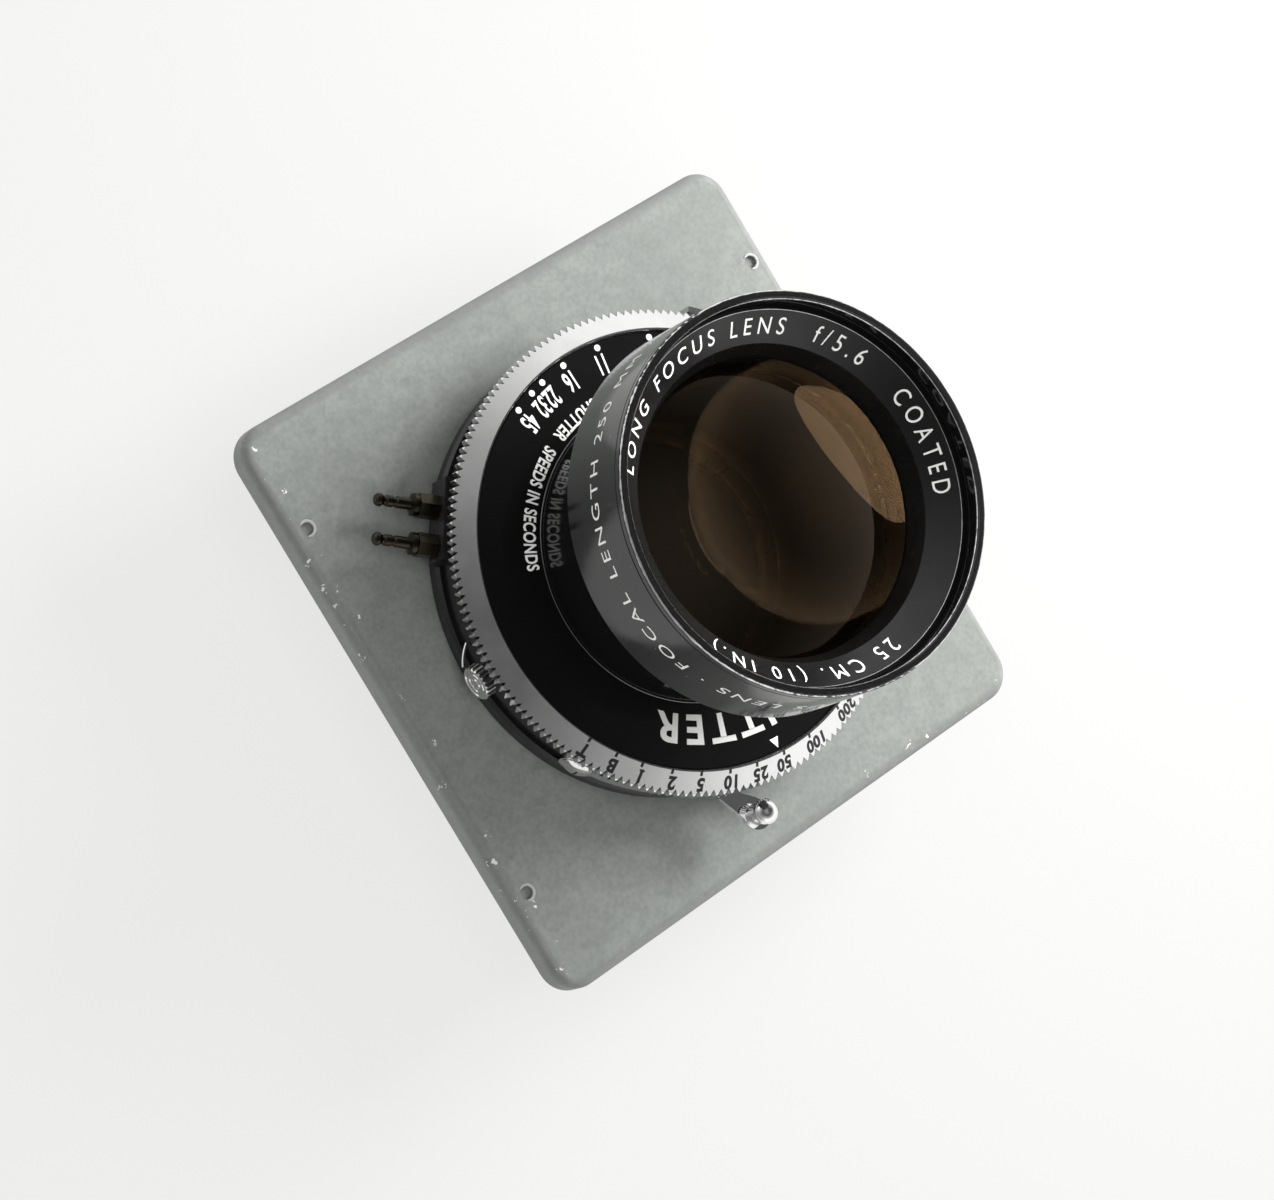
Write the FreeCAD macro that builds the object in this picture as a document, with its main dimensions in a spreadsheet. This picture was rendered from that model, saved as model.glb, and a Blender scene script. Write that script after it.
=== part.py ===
import FreeCAD
import Part
import math
import os
import Sketcher

# A 25 cm telephoto lens in a leaf shutter, on a square lens board.
# +Z runs along the optical axis, out of the front of the lens. The origin is on that axis, at the rear end of the
# rear barrel, which is what the lens stands on. Angles are counter-clockwise from +X, seen from the front.

Vector = FreeCAD.Vector
Rotation = FreeCAD.Rotation
Placement = FreeCAD.Placement
Z_AXIS = Vector(0, 0, 1)

# Driving dimensions, in millimetres and degrees. Heights named *_height are above the front of the board.
DIMENSIONS = {
    "board_front": 29.0,
    "board_side": 97.45,
    "board_corner": 5.0,
    "board_sheet": 1.2,
    "board_depth": 4.2,
    "board_bend": 1.5,
    "board_hole_radius": 26.55,
    "dimple_across": 45.6,
    "dimple_up": 31.7,
    "dimple_radius": 1.05,
    "dimple_depth": 0.6,
    "frame_side": 94.6,
    "frame_opening": 79.0,
    "frame_sheet": 1.4,
    "frame_wall_height": 4.2,
    "collar_radius": 26.4,
    "collar_bore": 24.0,
    "collar_length": 7.0,
    "retainer_radius": 31.5,
    "retainer_thickness": 2.2,
    "flange_radius": 36.2,
    "flange_height": 3.0,
    "case_radius": 35.3,
    "case_height": 10.6,
    "case_floor": 1.4,
    "cavity_radius": 33.4,
    "cavity_step_radius": 34.0,
    "cavity_step_height": 7.4,
    "opening_radius": 15.6,
    "iris_rim_radius": 31.7,
    "iris_plate": 0.6,
    "iris_blade_inner": 15.9,
    "iris_blade_outer": 23.4,
    "iris_pivot_radius": 25.6,
    "iris_blade_height": 2.1,
    "iris_blade_sheet": 0.1,
    "iris_blade_pitch": 0.15,
    "iris_drive_offset": 6.0,
    "iris_ring_height": 3.75,
    "iris_ring_inner": 24.8,
    "iris_ring_outer": 31.63,
    "aperture_travel": 63.6,
    "mechanism_plate_height": 4.6,
    "plate_sheet": 0.6,
    "blade_height": 5.3,
    "blade_sheet": 0.12,
    "blade_pitch": 0.2,
    "blade_inner": 15.9,
    "blade_outer": 30.4,
    "blade_pivot_radius": 31.8,
    "blade_drive_offset": 3.0,
    "blade_swing": 31.0,
    "blade_ring_height": 6.5,
    "blade_ring_inner": 29.0,
    "blade_ring_outer": 33.32,
    "blade_ring_travel": 20.0,
    "gear_plate_sheet": 0.8,
    "tube_outer": 22.68,
    "tube_bore": 21.5,
    "setting_ring_height": 8.6,
    "setting_ring_sheet": 0.8,
    "setting_ring_bore": 22.76,
    "gear_module": 0.5,
    "sector_pitch_radius": 25.0,
    "pinion_pitch_radius": 3.0,
    "cam_height": 12.3,
    "cam_sheet": 0.6,
    "face_hub_radius": 24.6,
    "face_radius": 33.95,
    "face_height": 13.7,
    "face_sheet": 0.7,
    "speed_ring_bore": 34.05,
    "speed_ring_radius": 37.8,
    "speed_ring_bottom": 10.9,
    "speed_ring_edge": 12.2,
    "speed_ring_top": 14.2,
    "speed_tooth_depth": 0.85,
    "neck_radius": 23.6,
    "neck_height": 25.8,
    "band_radius": 29.8,
    "band_height": 35.8,
    "rim_height": 52.7,
    "rim_bore": 28.35,
    "glass_clear_radius": 22.32,
    "glass_radius": 23.0,
    "glass_seat_height": 32.8,
    "glass_front_height": 45.5,
    "glass_joint_height": 36.5,
    "front_glass_curve": 75.0,
    "front_joint_curve": 95.0,
    "front_back_curve": 300.0,
    "name_ring_inner": 23.6,
    "name_ring_outer": 27.75,
    "name_ring_low": 45.85,
    "name_ring_high": 49.35,
    "rear_grip_radius": 26.3,
    "rear_barrel_radius": 23.0,
    "rear_glass_radius": 19.4,
    "rear_clear_radius": 18.6,
    "rear_seat_height": 14.0,
    "rear_joint_height": 8.2,
    "rear_glass_curve": 55.0,
    "rear_joint_curve": 70.0,
    "rear_back_curve": 200.0,
    "contact_angle": -36.45,
    "contact_spacing": 6.0,
    "contact_height": 5.2,
    "button_angle": 1.3,
    "button_radius": 2.75,
    "button_height": 6.2,
    "release_angle": 32.5,
    "release_height": 6.2,
    "release_sheet": 0.75,
    "cocking_angle": 70.15,
    "knob_angle": 76.0,
    "knob_reach": 41.8,
    "knob_radius": 1.95,
    "knob_top": 13.5,
    "socket_angle": 152.0,
    "socket_bore": 1.6,
}

SPEED_TEETH = 180
IRIS_BLADES = 10
SHUTTER_BLADES = 5
SECTOR_TEETH = 16
SECTOR_FULL_TEETH = 100
PINION_TEETH = 12
STAR_TEETH = 14
APERTURE_REST_ANGLE = -131.6
COCKING_TRAVEL = 36.0
STAR_ANGLE = 232.0
PALLET_ANGLE = 214.0
CATCH_ANGLE = 48.0
PLATE_SCREW_ANGLES = (20.0, 135.0, 300.0)


class Size:
    """A number, with the sheet formula that gives it."""

    def __init__(self, value, formula):
        self.value = float(value)
        self.formula = formula

    def __add__(self, other):
        other = as_size(other)
        return Size(self.value + other.value, f"({self.formula} + {other.formula})")

    def __sub__(self, other):
        other = as_size(other)
        return Size(self.value - other.value, f"({self.formula} - {other.formula})")

    def __mul__(self, other):
        other = as_size(other)
        return Size(self.value * other.value, f"({self.formula} * {other.formula})")

    def __truediv__(self, other):
        other = as_size(other)
        return Size(self.value / other.value, f"({self.formula} / {other.formula})")

    def __neg__(self):
        return Size(-self.value, f"(0 - {self.formula})")


def as_size(number):
    if isinstance(number, Size):
        return number
    return Size(number, f"({number:.6f})")


doc = FreeCAD.newDocument("telephoto_lens")
sheet = doc.addObject("Spreadsheet::Sheet", "Sizes")
for row, (alias, number) in enumerate(DIMENSIONS.items(), start=1):
    sheet.set(f"A{row}", alias)
    sheet.set(f"B{row}", str(number))
    sheet.setAlias(f"B{row}", alias)
doc.recompute()


def dim(alias):
    return Size(DIMENSIONS[alias], f"Sizes.{alias}")


def above_board(height):
    """A height above the front of the board, as a height above the origin."""
    return dim("board_front") + height


nodes = []


# ---------------------------------------------------------------- drawing

def new_body(label):
    body = doc.addObject("PartDesign::Body", label)
    body.Label = label
    nodes.append(body)
    return body


def new_sketch(body, role="XY_Plane", lift=None, turn=0.0):
    """A sketch on one of the body's own planes, lifted off it or turned about its upright axis."""
    sketch = body.newObject("Sketcher::SketchObject", f"{body.Label}_sketch")
    plane = next(item for item in body.Origin.OriginFeatures if item.Role == role)
    sketch.AttachmentSupport = [(plane, "")]
    sketch.MapMode = "FlatFace"
    if lift is not None:
        sketch.AttachmentOffset = Placement(Vector(0, 0, lift.value), Rotation())
        sketch.setExpression("AttachmentOffset.Base.z", lift.formula)
    if turn:
        sketch.AttachmentOffset = Placement(Vector(), Rotation(Vector(0, 1, 0), turn))
    return sketch


def bind(sketch, constraint, size):
    number = sketch.addConstraint(constraint)
    sketch.setExpression(f"Constraints[{number}]", size.formula)


def pin_point(sketch, line, end, across, up):
    """Hold one point of a sketch at a place given from the sketch's origin."""
    for kind, axis, size in (("DistanceX", -2, as_size(across)), ("DistanceY", -1, as_size(up))):
        if abs(size.value) < 1e-9:
            sketch.addConstraint(Sketcher.Constraint("PointOnObject", line, end, axis))
        elif size.value > 0:
            bind(sketch, Sketcher.Constraint(kind, -1, 1, line, end, size.value), size)
        else:
            bind(sketch, Sketcher.Constraint(kind, line, end, -1, 1, -size.value), -size)


def draw_circle(sketch, across, up, radius):
    across, up, radius = as_size(across), as_size(up), as_size(radius)
    centre = Vector(across.value, up.value, 0)
    circle = sketch.addGeometry(Part.Circle(centre, Z_AXIS, radius.value))
    pin_point(sketch, circle, 3, across, up)
    bind(sketch, Sketcher.Constraint("Radius", circle, radius.value), radius)


def arc_middle(start, end, radius, side):
    """The middle point of an arc that bulges to the left (side 1) or right (side -1) of its chord."""
    chord = end - start
    half = chord.Length / 2
    rise = radius - math.sqrt(max(radius * radius - half * half, 0.0))
    across = Vector(-chord.y, chord.x, 0).normalize()
    return (start + end) * 0.5 + across * (side * rise)


def draw_outline(sketch, outline):
    """A closed outline. A corner is (across, up), and (across, up, radius, side) is reached by an arc."""
    corners = [tuple(as_size(item) for item in corner[:2]) for corner in outline]
    points = [Vector(across.value, up.value, 0) for across, up in corners]
    edges = []
    for index in range(len(outline)):
        start, end = points[index], points[(index + 1) % len(points)]
        bend = outline[(index + 1) % len(points)][2:]
        if not bend:
            edges.append((sketch.addGeometry(Part.LineSegment(start, end)), 1, 2))
            continue
        radius, side = as_size(bend[0]), bend[1]
        arc = sketch.addGeometry(Part.Arc(start, arc_middle(start, end, radius.value, side), end))
        forward = sketch.getPoint(arc, 1).distanceToPoint(start) < sketch.getPoint(arc, 2).distanceToPoint(start)
        edges.append((arc, 1, 2) if forward else (arc, 2, 1))
        bind(sketch, Sketcher.Constraint("Radius", arc, radius.value), radius)
    for index, (line, first, last) in enumerate(edges):
        after, after_first, _ = edges[(index + 1) % len(edges)]
        sketch.addConstraint(Sketcher.Constraint("Coincident", line, last, after, after_first))
        pin_point(sketch, line, first, *corners[index])


def draw_rounded_square(sketch, side, corner):
    """A square about the origin with its four corners rounded."""
    half = side / 2
    inner = half - corner
    low, high = -inner, inner
    draw_outline(sketch, [
        (low, -half, corner, -1), (high, -half), (half, low, corner, -1), (half, high),
        (high, half, corner, -1), (low, half), (-half, high, corner, -1), (-half, low)])


def volume(body):
    doc.recompute()
    return body.Shape.Volume


def add_feature(body, kind, sketch, **settings):
    """Add a sketch-based feature, bind its sizes, and check that it changed the body's volume."""
    before = body.Shape.Volume if body.Tip is not None and not body.Shape.isNull() else 0.0
    feature = body.newObject(f"PartDesign::{kind}", f"{body.Label}_{kind}")
    feature.Profile = sketch
    for key, setting in settings.items():
        if isinstance(setting, Size):
            setattr(feature, key, setting.value)
            feature.setExpression(key, setting.formula)
        else:
            setattr(feature, key, setting)
    after = volume(body)
    removes = kind in ("Pocket", "Groove")
    if (removes and after > before - 1e-4) or (not removes and after < before + 1e-4):
        raise RuntimeError(f"{feature.Label} changed the volume from {before:.4f} to {after:.4f}")
    return feature


def pad(body, sketch, length):
    return add_feature(body, "Pad", sketch, Length=as_size(length))


def pocket_up(body, sketch, depth):
    """Cut upwards from the sketch."""
    return add_feature(body, "Pocket", sketch, Length=as_size(depth), Reversed=True)


def turn_feature(body, kind, outline, sweep=360.0, centre=0.0):
    """A revolved solid or cut about the upright axis, centred on an angle when it isn't a full turn."""
    sketch = new_sketch(body, "XZ_Plane", turn=centre)
    draw_outline(sketch, outline)
    settings = {"ReferenceAxis": (sketch, ["V_Axis"]), "Angle": as_size(sweep)}
    if sweep != 360.0:
        settings["Midplane"] = True
    return add_feature(body, kind, sketch, **settings)


def block(inner, outer, low, high):
    """The outline of a plain rectangular section between two radii and two heights."""
    return [(inner, low), (outer, low), (outer, high), (inner, high)]


def turned(label, outline):
    body = new_body(label)
    turn_feature(body, "Revolution", outline)
    return body


def repeat(body, features, count, angle=360.0):
    """Repeat features about the upright axis."""
    pattern = body.newObject("PartDesign::PolarPattern", f"{body.Label}_pattern")
    pattern.Originals = features
    pattern.Axis = (features[0].Profile[0], ["V_Axis" if features[0].TypeId.endswith(("Groove", "Revolution"))
                                             else "N_Axis"])
    pattern.Angle = angle
    pattern.Occurrences = count
    body.Tip = pattern
    doc.recompute()
    return pattern


def round_edges(body, radius, wanted):
    """Fillet the edges of the body's last feature that a test picks out."""
    radius = as_size(radius)
    base = body.Tip
    names = [f"Edge{number}" for number, edge in enumerate(base.Shape.Edges, start=1) if wanted(edge)]
    fillet = body.newObject("PartDesign::Fillet", f"{body.Label}_fillet")
    fillet.Base = (base, names)
    fillet.Radius = radius.value
    fillet.setExpression("Radius", radius.formula)
    doc.recompute()
    return fillet


def at_height(edge, height):
    box = edge.BoundBox
    return abs(box.ZMin - height.value) < 1e-4 and abs(box.ZMax - height.value) < 1e-4


def turned_to(angle):
    return Placement(Vector(), Rotation(Z_AXIS, angle))


def radial(angle, reach, height, side=0.0):
    """Lay a piece drawn along +Z so that it points outwards from the optical axis."""
    laid = Placement(Vector(reach, side, height), Rotation(Vector(0, 1, 0), 90))
    return turned_to(angle) * laid


# ---------------------------------------------------------------- board

def lens_board():
    body = new_body("lens_board")
    back = dim("board_front") - dim("board_depth")
    pan = new_sketch(body, lift=back)
    draw_rounded_square(pan, dim("board_side"), dim("board_corner"))
    pad(body, pan, dim("board_depth"))
    round_edges(body, dim("board_bend"), lambda edge: at_height(edge, dim("board_front")))
    hollow = new_sketch(body, lift=back)
    draw_rounded_square(hollow, dim("board_side") - dim("board_sheet") * 2, dim("board_corner") - dim("board_sheet"))
    pocket_up(body, hollow, dim("board_depth") - dim("board_sheet"))
    hole = new_sketch(body, lift=back)
    draw_circle(hole, 0, 0, dim("board_hole_radius"))
    pocket_up(body, hole, dim("board_depth") + 1)
    dimples = new_sketch(body, lift=dim("board_front") - dim("dimple_depth"))
    for across in (dim("dimple_across"), -dim("dimple_across")):
        for up in (dim("dimple_up"), -dim("dimple_up")):
            draw_circle(dimples, across, up, dim("dimple_radius"))
    pocket_up(body, dimples, dim("dimple_depth") + 1)


def light_trap_frame():
    body = new_body("light_trap_frame")
    top = dim("board_front") - dim("board_sheet")
    plate = new_sketch(body, lift=top - dim("frame_sheet"))
    draw_rounded_square(plate, dim("frame_side"), dim("board_corner") - dim("board_sheet"))
    draw_rounded_square(plate, dim("frame_opening"), dim("board_corner") - 2)
    pad(body, plate, dim("frame_sheet"))
    wall = new_sketch(body, lift=top - dim("frame_wall_height"))
    draw_rounded_square(wall, dim("frame_opening") + dim("frame_sheet") * 2, dim("board_corner") - 1)
    draw_rounded_square(wall, dim("frame_opening"), dim("board_corner") - 2)
    pad(body, wall, dim("frame_wall_height"))


def shutter_retaining_ring():
    top = dim("board_front") - dim("board_sheet")
    low = top - dim("retainer_thickness")
    body = turned("shutter_retaining_ring", block(dim("collar_radius") + 0.05, dim("retainer_radius"), low, top))
    notch = new_sketch(body, lift=low)
    radius = dim("retainer_radius")
    draw_outline(notch, [(radius - 1.6, -1.2), (radius + 1, -1.2), (radius + 1, 1.2), (radius - 1.6, 1.2)])
    cut = pocket_up(body, notch, dim("retainer_thickness") + 1)
    repeat(body, [cut], 6)


# ---------------------------------------------------------------- shutter case and diaphragm

def shutter_case():
    front = dim("board_front")
    outline = [
        (dim("opening_radius") + 0.4, front - 0.5), (dim("collar_bore"), front - 0.5),
        (dim("collar_bore"), front - dim("collar_length")), (dim("collar_radius"), front - dim("collar_length")),
        (dim("collar_radius"), front), (dim("flange_radius") - 0.5, front),
        (dim("flange_radius"), front + 0.5), (dim("flange_radius"), above_board(dim("flange_height")) - 0.5),
        (dim("flange_radius") - 0.5, above_board(dim("flange_height"))),
        (dim("case_radius"), above_board(dim("flange_height"))), (dim("case_radius"), above_board(dim("case_height"))),
        (dim("cavity_step_radius"), above_board(dim("case_height"))),
        (dim("cavity_step_radius"), above_board(dim("cavity_step_height"))),
        (dim("cavity_radius"), above_board(dim("cavity_step_height"))),
        (dim("cavity_radius"), above_board(dim("case_floor"))),
        (dim("opening_radius") + 0.4, above_board(dim("case_floor")))]
    body = turned("shutter_case", outline)
    inside, outside = dim("cavity_radius") - 1, dim("flange_radius") + 1
    slots = (
        (dim("iris_ring_height") - 0.45, 1.5, APERTURE_REST_ANGLE + DIMENSIONS["aperture_travel"] / 2,
         DIMENSIONS["aperture_travel"] + 9.0),
        (dim("setting_ring_height") - 0.35, 1.5, DIMENSIONS["cocking_angle"] + COCKING_TRAVEL / 2,
         COCKING_TRAVEL + 10.0))
    for height, tall, centre, sweep in slots:
        low = above_board(height)
        turn_feature(body, "Groove", block(inside, outside, low, low + tall), sweep, centre)
    holes = (
        (dim("button_angle"), dim("button_height"), as_size(1.06)),
        (dim("socket_angle"), dim("contact_height"), as_size(2.15)),
        (dim("release_angle"), dim("release_height"), as_size(0.8)))
    for angle, height, radius in holes:
        side_hole(body, angle, above_board(height), radius)


def side_hole(body, angle, height, radius):
    """A hole drilled inwards through a wall at one angle."""
    sketch = new_sketch(body, "YZ_Plane")
    sketch.AttachmentOffset = Placement(Vector(), Rotation(Vector(0, 1, 0), angle.value))
    sketch.setExpression("AttachmentOffset.Rotation.Angle", angle.formula)
    draw_circle(sketch, 0, height, radius)
    add_feature(body, "Pocket", sketch, Length=as_size(40), Reversed=True)


def iris_base_ring():
    floor = above_board(dim("case_floor"))
    rim_top = above_board(dim("mechanism_plate_height"))
    edge = dim("cavity_radius") - 0.1
    body = turned("iris_base_ring", [
        (dim("opening_radius"), floor), (edge, floor), (edge, rim_top), (dim("iris_rim_radius"), rim_top),
        (dim("iris_rim_radius"), floor + dim("iris_plate")), (dim("opening_radius"), floor + dim("iris_plate"))])
    travel = DIMENSIONS["aperture_travel"]
    slot_low = above_board(dim("iris_ring_height") - 0.45)
    turn_feature(body, "Groove", block(dim("iris_rim_radius") - 0.5, edge + 1, slot_low, rim_top + 1),
                 travel + 9.0, APERTURE_REST_ANGLE + travel / 2)
    hole = new_sketch(body, lift=floor)
    draw_circle(hole, dim("iris_pivot_radius"), 0, 0.45)
    cut = pocket_up(body, hole, dim("iris_plate") + 1)
    repeat(body, [cut], IRIS_BLADES)


def iris_blade(number):
    body = new_body(f"iris_blade_{number + 1:02d}")
    low = above_board(dim("iris_blade_height") + dim("iris_blade_pitch") * number)
    high = low + dim("iris_blade_sheet")
    inner, outer, pivot = dim("iris_blade_inner"), dim("iris_blade_outer"), dim("iris_pivot_radius")
    turn_feature(body, "Revolution", block(inner, outer, low, high), 89.0, 41.5)
    tab = new_sketch(body, lift=low)
    drive = -dim("iris_drive_offset")
    draw_outline(tab, [
        (outer - 1, -1.0), (pivot - 0.8, -1.8), (pivot - 0.7, drive), (pivot + 0.7, drive, 0.75, -1),
        (pivot + 0.9, 0.8), (outer - 0.8, 2.6)])
    pad(body, tab, dim("iris_blade_sheet"))
    pivot_pin = new_sketch(body, lift=above_board(dim("case_floor") + 0.1))
    draw_circle(pivot_pin, pivot, 0, 0.4)
    pad(body, pivot_pin, dim("iris_blade_height") + dim("iris_blade_pitch") * number - dim("case_floor"))
    drive_pin = new_sketch(body, lift=low)
    draw_circle(drive_pin, pivot, drive, 0.4)
    pad(body, drive_pin, dim("iris_ring_height") + 0.5 - dim("iris_blade_height") - dim("iris_blade_pitch") * number)
    body.Placement = turned_to(number * 360.0 / IRIS_BLADES)


def pin_track(pivot, offset, rest_turn, blade_ratio, travel):
    """Three places of a blade's drive pin, seen from the drive ring, from just before its travel to just after."""
    track = []
    for step in (-0.02, 0.5, 1.02):
        ring_turn = travel * step
        arm = Rotation(Z_AXIS, rest_turn + blade_ratio * ring_turn).multVec(Vector(0, offset, 0))
        track.append(Rotation(Z_AXIS, -ring_turn).multVec(Vector(pivot, 0, 0) + arm))
    return track


def cut_cam_slots(body, track, width, count, low, depth):
    """Curved slots that follow a blade pin's track, one for each blade."""
    circle = Part.Circle(*track)
    centre, half = circle.Center, width / 2
    start = (track[0] - centre).normalize()
    end = (track[2] - centre).normalize()
    corners = [centre + start * (circle.Radius + half), centre + end * (circle.Radius + half),
               centre + end * (circle.Radius - half), centre + start * (circle.Radius - half)]
    clockwise = start.cross(end).z < 0
    side = 1 if clockwise else -1
    slot = new_sketch(body, lift=low)
    end_radius = half * 1.05
    draw_outline(slot, [
        (corners[0].x, corners[0].y, end_radius, side), (corners[1].x, corners[1].y, circle.Radius + half, side),
        (corners[2].x, corners[2].y, end_radius, side), (corners[3].x, corners[3].y, circle.Radius - half, -side)])
    cut = pocket_up(body, slot, depth)
    repeat(body, [cut], count)


def iris_cam_ring():
    low = above_board(dim("iris_ring_height"))
    body = turned("iris_cam_ring", block(dim("iris_ring_inner"), dim("iris_ring_outer"), low, low + 0.6))
    track = pin_track(DIMENSIONS["iris_pivot_radius"], -DIMENSIONS["iris_drive_offset"], 0.0, 0.5,
                      DIMENSIONS["aperture_travel"])
    cut_cam_slots(body, track, 0.98, IRIS_BLADES, low, 1.0)


def aperture_lever():
    body = new_body("aperture_lever")
    low = above_board(dim("iris_ring_height"))
    inner, outer = dim("iris_ring_outer"), dim("speed_ring_radius") + 2.1
    finger = [(inner, low), (outer, low), (outer, low + 6.0), (outer - 0.9, low + 6.0), (outer - 0.9, low + 0.6),
              (inner, low + 0.6)]
    turn_feature(body, "Revolution", finger, 4.4, APERTURE_REST_ANGLE)


# ---------------------------------------------------------------- shutter blades and drive

def mechanism_plate():
    low = above_board(dim("mechanism_plate_height"))
    body = turned("mechanism_plate", block(dim("opening_radius"), dim("cavity_radius") - 0.1, low,
                                           low + dim("plate_sheet")))
    stud = new_sketch(body, lift=low)
    draw_circle(stud, dim("blade_pivot_radius"), 0, 0.5)
    post = pad(body, stud, dim("blade_ring_height") - dim("mechanism_plate_height") - 0.1)
    repeat(body, [post], SHUTTER_BLADES)


def shutter_blade(number):
    body = new_body(f"shutter_blade_{number + 1}")
    low = above_board(dim("blade_height") + dim("blade_pitch") * number)
    sheet_size = dim("blade_sheet")
    pivot = dim("blade_pivot_radius")
    turn_feature(body, "Revolution", block(dim("blade_inner"), dim("blade_outer"), low, low + sheet_size), 87.0, 40.5)
    turn_feature(body, "Revolution", block(dim("blade_outer") - 1, pivot + 0.1, low, low + sheet_size), 9.9, 2.65)
    for across, up, radius in ((pivot, as_size(0), 1.3), (pivot, dim("blade_drive_offset"), 0.9)):
        disc = new_sketch(body, lift=low)
        draw_circle(disc, across, up, radius)
        pad(body, disc, sheet_size)
    hole = new_sketch(body, lift=low)
    draw_circle(hole, pivot, 0, 0.57)
    pocket_up(body, hole, 1)
    drive_pin = new_sketch(body, lift=low)
    draw_circle(drive_pin, pivot, dim("blade_drive_offset"), 0.4)
    pad(body, drive_pin, dim("blade_ring_height") + 0.55 - dim("blade_height") - dim("blade_pitch") * number)
    pivot_place = Vector(pivot.value, 0, 0)
    closed = Placement(pivot_place, Rotation(Z_AXIS, DIMENSIONS["blade_swing"])) * Placement(-pivot_place, Rotation())
    body.Placement = turned_to(number * 360.0 / SHUTTER_BLADES) * closed


def blade_ring():
    low = above_board(dim("blade_ring_height"))
    body = turned("blade_ring", block(dim("blade_ring_inner"), dim("blade_ring_outer"), low, low + 0.6))
    travel = DIMENSIONS["blade_ring_travel"]
    swing = DIMENSIONS["blade_swing"]
    track = pin_track(DIMENSIONS["blade_pivot_radius"], DIMENSIONS["blade_drive_offset"], swing, -swing / travel,
                      travel)
    cut_cam_slots(body, track, 0.98, SHUTTER_BLADES, low, 1.0)


def gear_places():
    """The arbors that stand in the gear plate, as (reach, angle)."""
    star_reach = dim("sector_pitch_radius") + dim("pinion_pitch_radius")
    return {"star": (star_reach, STAR_ANGLE), "pallet": (as_size(29.0), PALLET_ANGLE), "catch": (as_size(30.2), CATCH_ANGLE)}


def drill(body, places, radius, low, depth):
    for reach, angle in places:
        hole = new_sketch(body, lift=low)
        x_part, y_part = math.cos(math.radians(angle)), math.sin(math.radians(angle))
        draw_circle(hole, reach * x_part, reach * y_part, radius)
        pocket_up(body, hole, depth)


def gear_plate():
    low = above_board(dim("cavity_step_height"))
    body = turned("gear_plate", block(dim("opening_radius") + 0.2, dim("cavity_step_radius") - 0.1, low,
                                      low + dim("gear_plate_sheet")))
    drill(body, gear_places().values(), 0.57, low, 1.5)
    drill(body, [(as_size(31.8), angle) for angle in PLATE_SCREW_ANGLES], 0.62, low, 1.5)


def front_tube():
    low = above_board(dim("cavity_step_height") + dim("gear_plate_sheet"))
    shoulder = above_board(dim("cam_height") - 0.1)
    top = above_board(dim("face_height") - 0.1)
    turned("front_tube", [
        (dim("tube_bore"), low), (dim("tube_outer") + 1.3, low), (dim("tube_outer") + 1.3, low + 0.3),
        (dim("tube_outer"), low + 0.3), (dim("tube_outer"), shoulder), (dim("tube_outer") - 0.38, shoulder),
        (dim("tube_outer") - 0.38, top), (dim("tube_bore"), top)])


def involute_tooth(pitch_radius, teeth, addendum, root, backlash):
    """Half of a gear tooth's outline, as (radius, half angle) from the root to the tip, at 20 degrees of pressure."""
    pressure = math.radians(20)
    base = pitch_radius * math.cos(pressure)
    tip = pitch_radius + addendum

    def half_angle(radius):
        lean = math.acos(min(base / radius, 1.0))
        return (math.pi / (2 * teeth) - backlash / (2 * pitch_radius) + math.tan(pressure) - pressure
                - math.tan(lean) + lean)
    steps = [base + (tip - base) * part for part in (0.0, 0.3, 0.65, 1.0)] if base > root else [
        root + (tip - root) * part for part in (0.0, 0.35, 0.7, 1.0)]
    flank = [(radius, half_angle(radius)) for radius in steps]
    if base > root:
        flank.insert(0, (root, half_angle(base)))
    return flank


def add_teeth(body, flank, low, height, count, pitch_angle, first_angle):
    """Teeth about the upright axis, each sunk a little into its rim."""
    tooth = new_sketch(body, lift=low)
    sunk_radius, sunk_angle = flank[0][0] - 0.15, flank[0][1]
    side = [(sunk_radius, sunk_angle)] + flank
    turn = math.radians(first_angle)
    corners = [(radius * math.cos(turn - angle), radius * math.sin(turn - angle)) for radius, angle in side]
    corners += [(radius * math.cos(turn + angle), radius * math.sin(turn + angle)) for radius, angle in reversed(side)]
    draw_outline(tooth, corners)
    solid = pad(body, tooth, height)
    repeat(body, [solid], count, pitch_angle * (count - 1) if pitch_angle * count < 359 else 360.0)


def setting_ring():
    low = above_board(dim("setting_ring_height"))
    high = low + dim("setting_ring_sheet")
    root = dim("sector_pitch_radius") - dim("gear_module") * 1.25
    body = turned("setting_ring", block(dim("setting_ring_bore"), root, low, high))
    module = DIMENSIONS["gear_module"]
    flank = involute_tooth(DIMENSIONS["sector_pitch_radius"], SECTOR_FULL_TEETH, 0.75 * module, root.value, 0.06)
    pitch_angle = 360.0 / SECTOR_FULL_TEETH
    add_teeth(body, flank, low, dim("setting_ring_sheet"), SECTOR_TEETH, pitch_angle, STAR_ANGLE - 12 * pitch_angle)


def polar_point(reach, angle):
    return (reach * math.cos(math.radians(angle)), reach * math.sin(math.radians(angle)))


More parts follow.
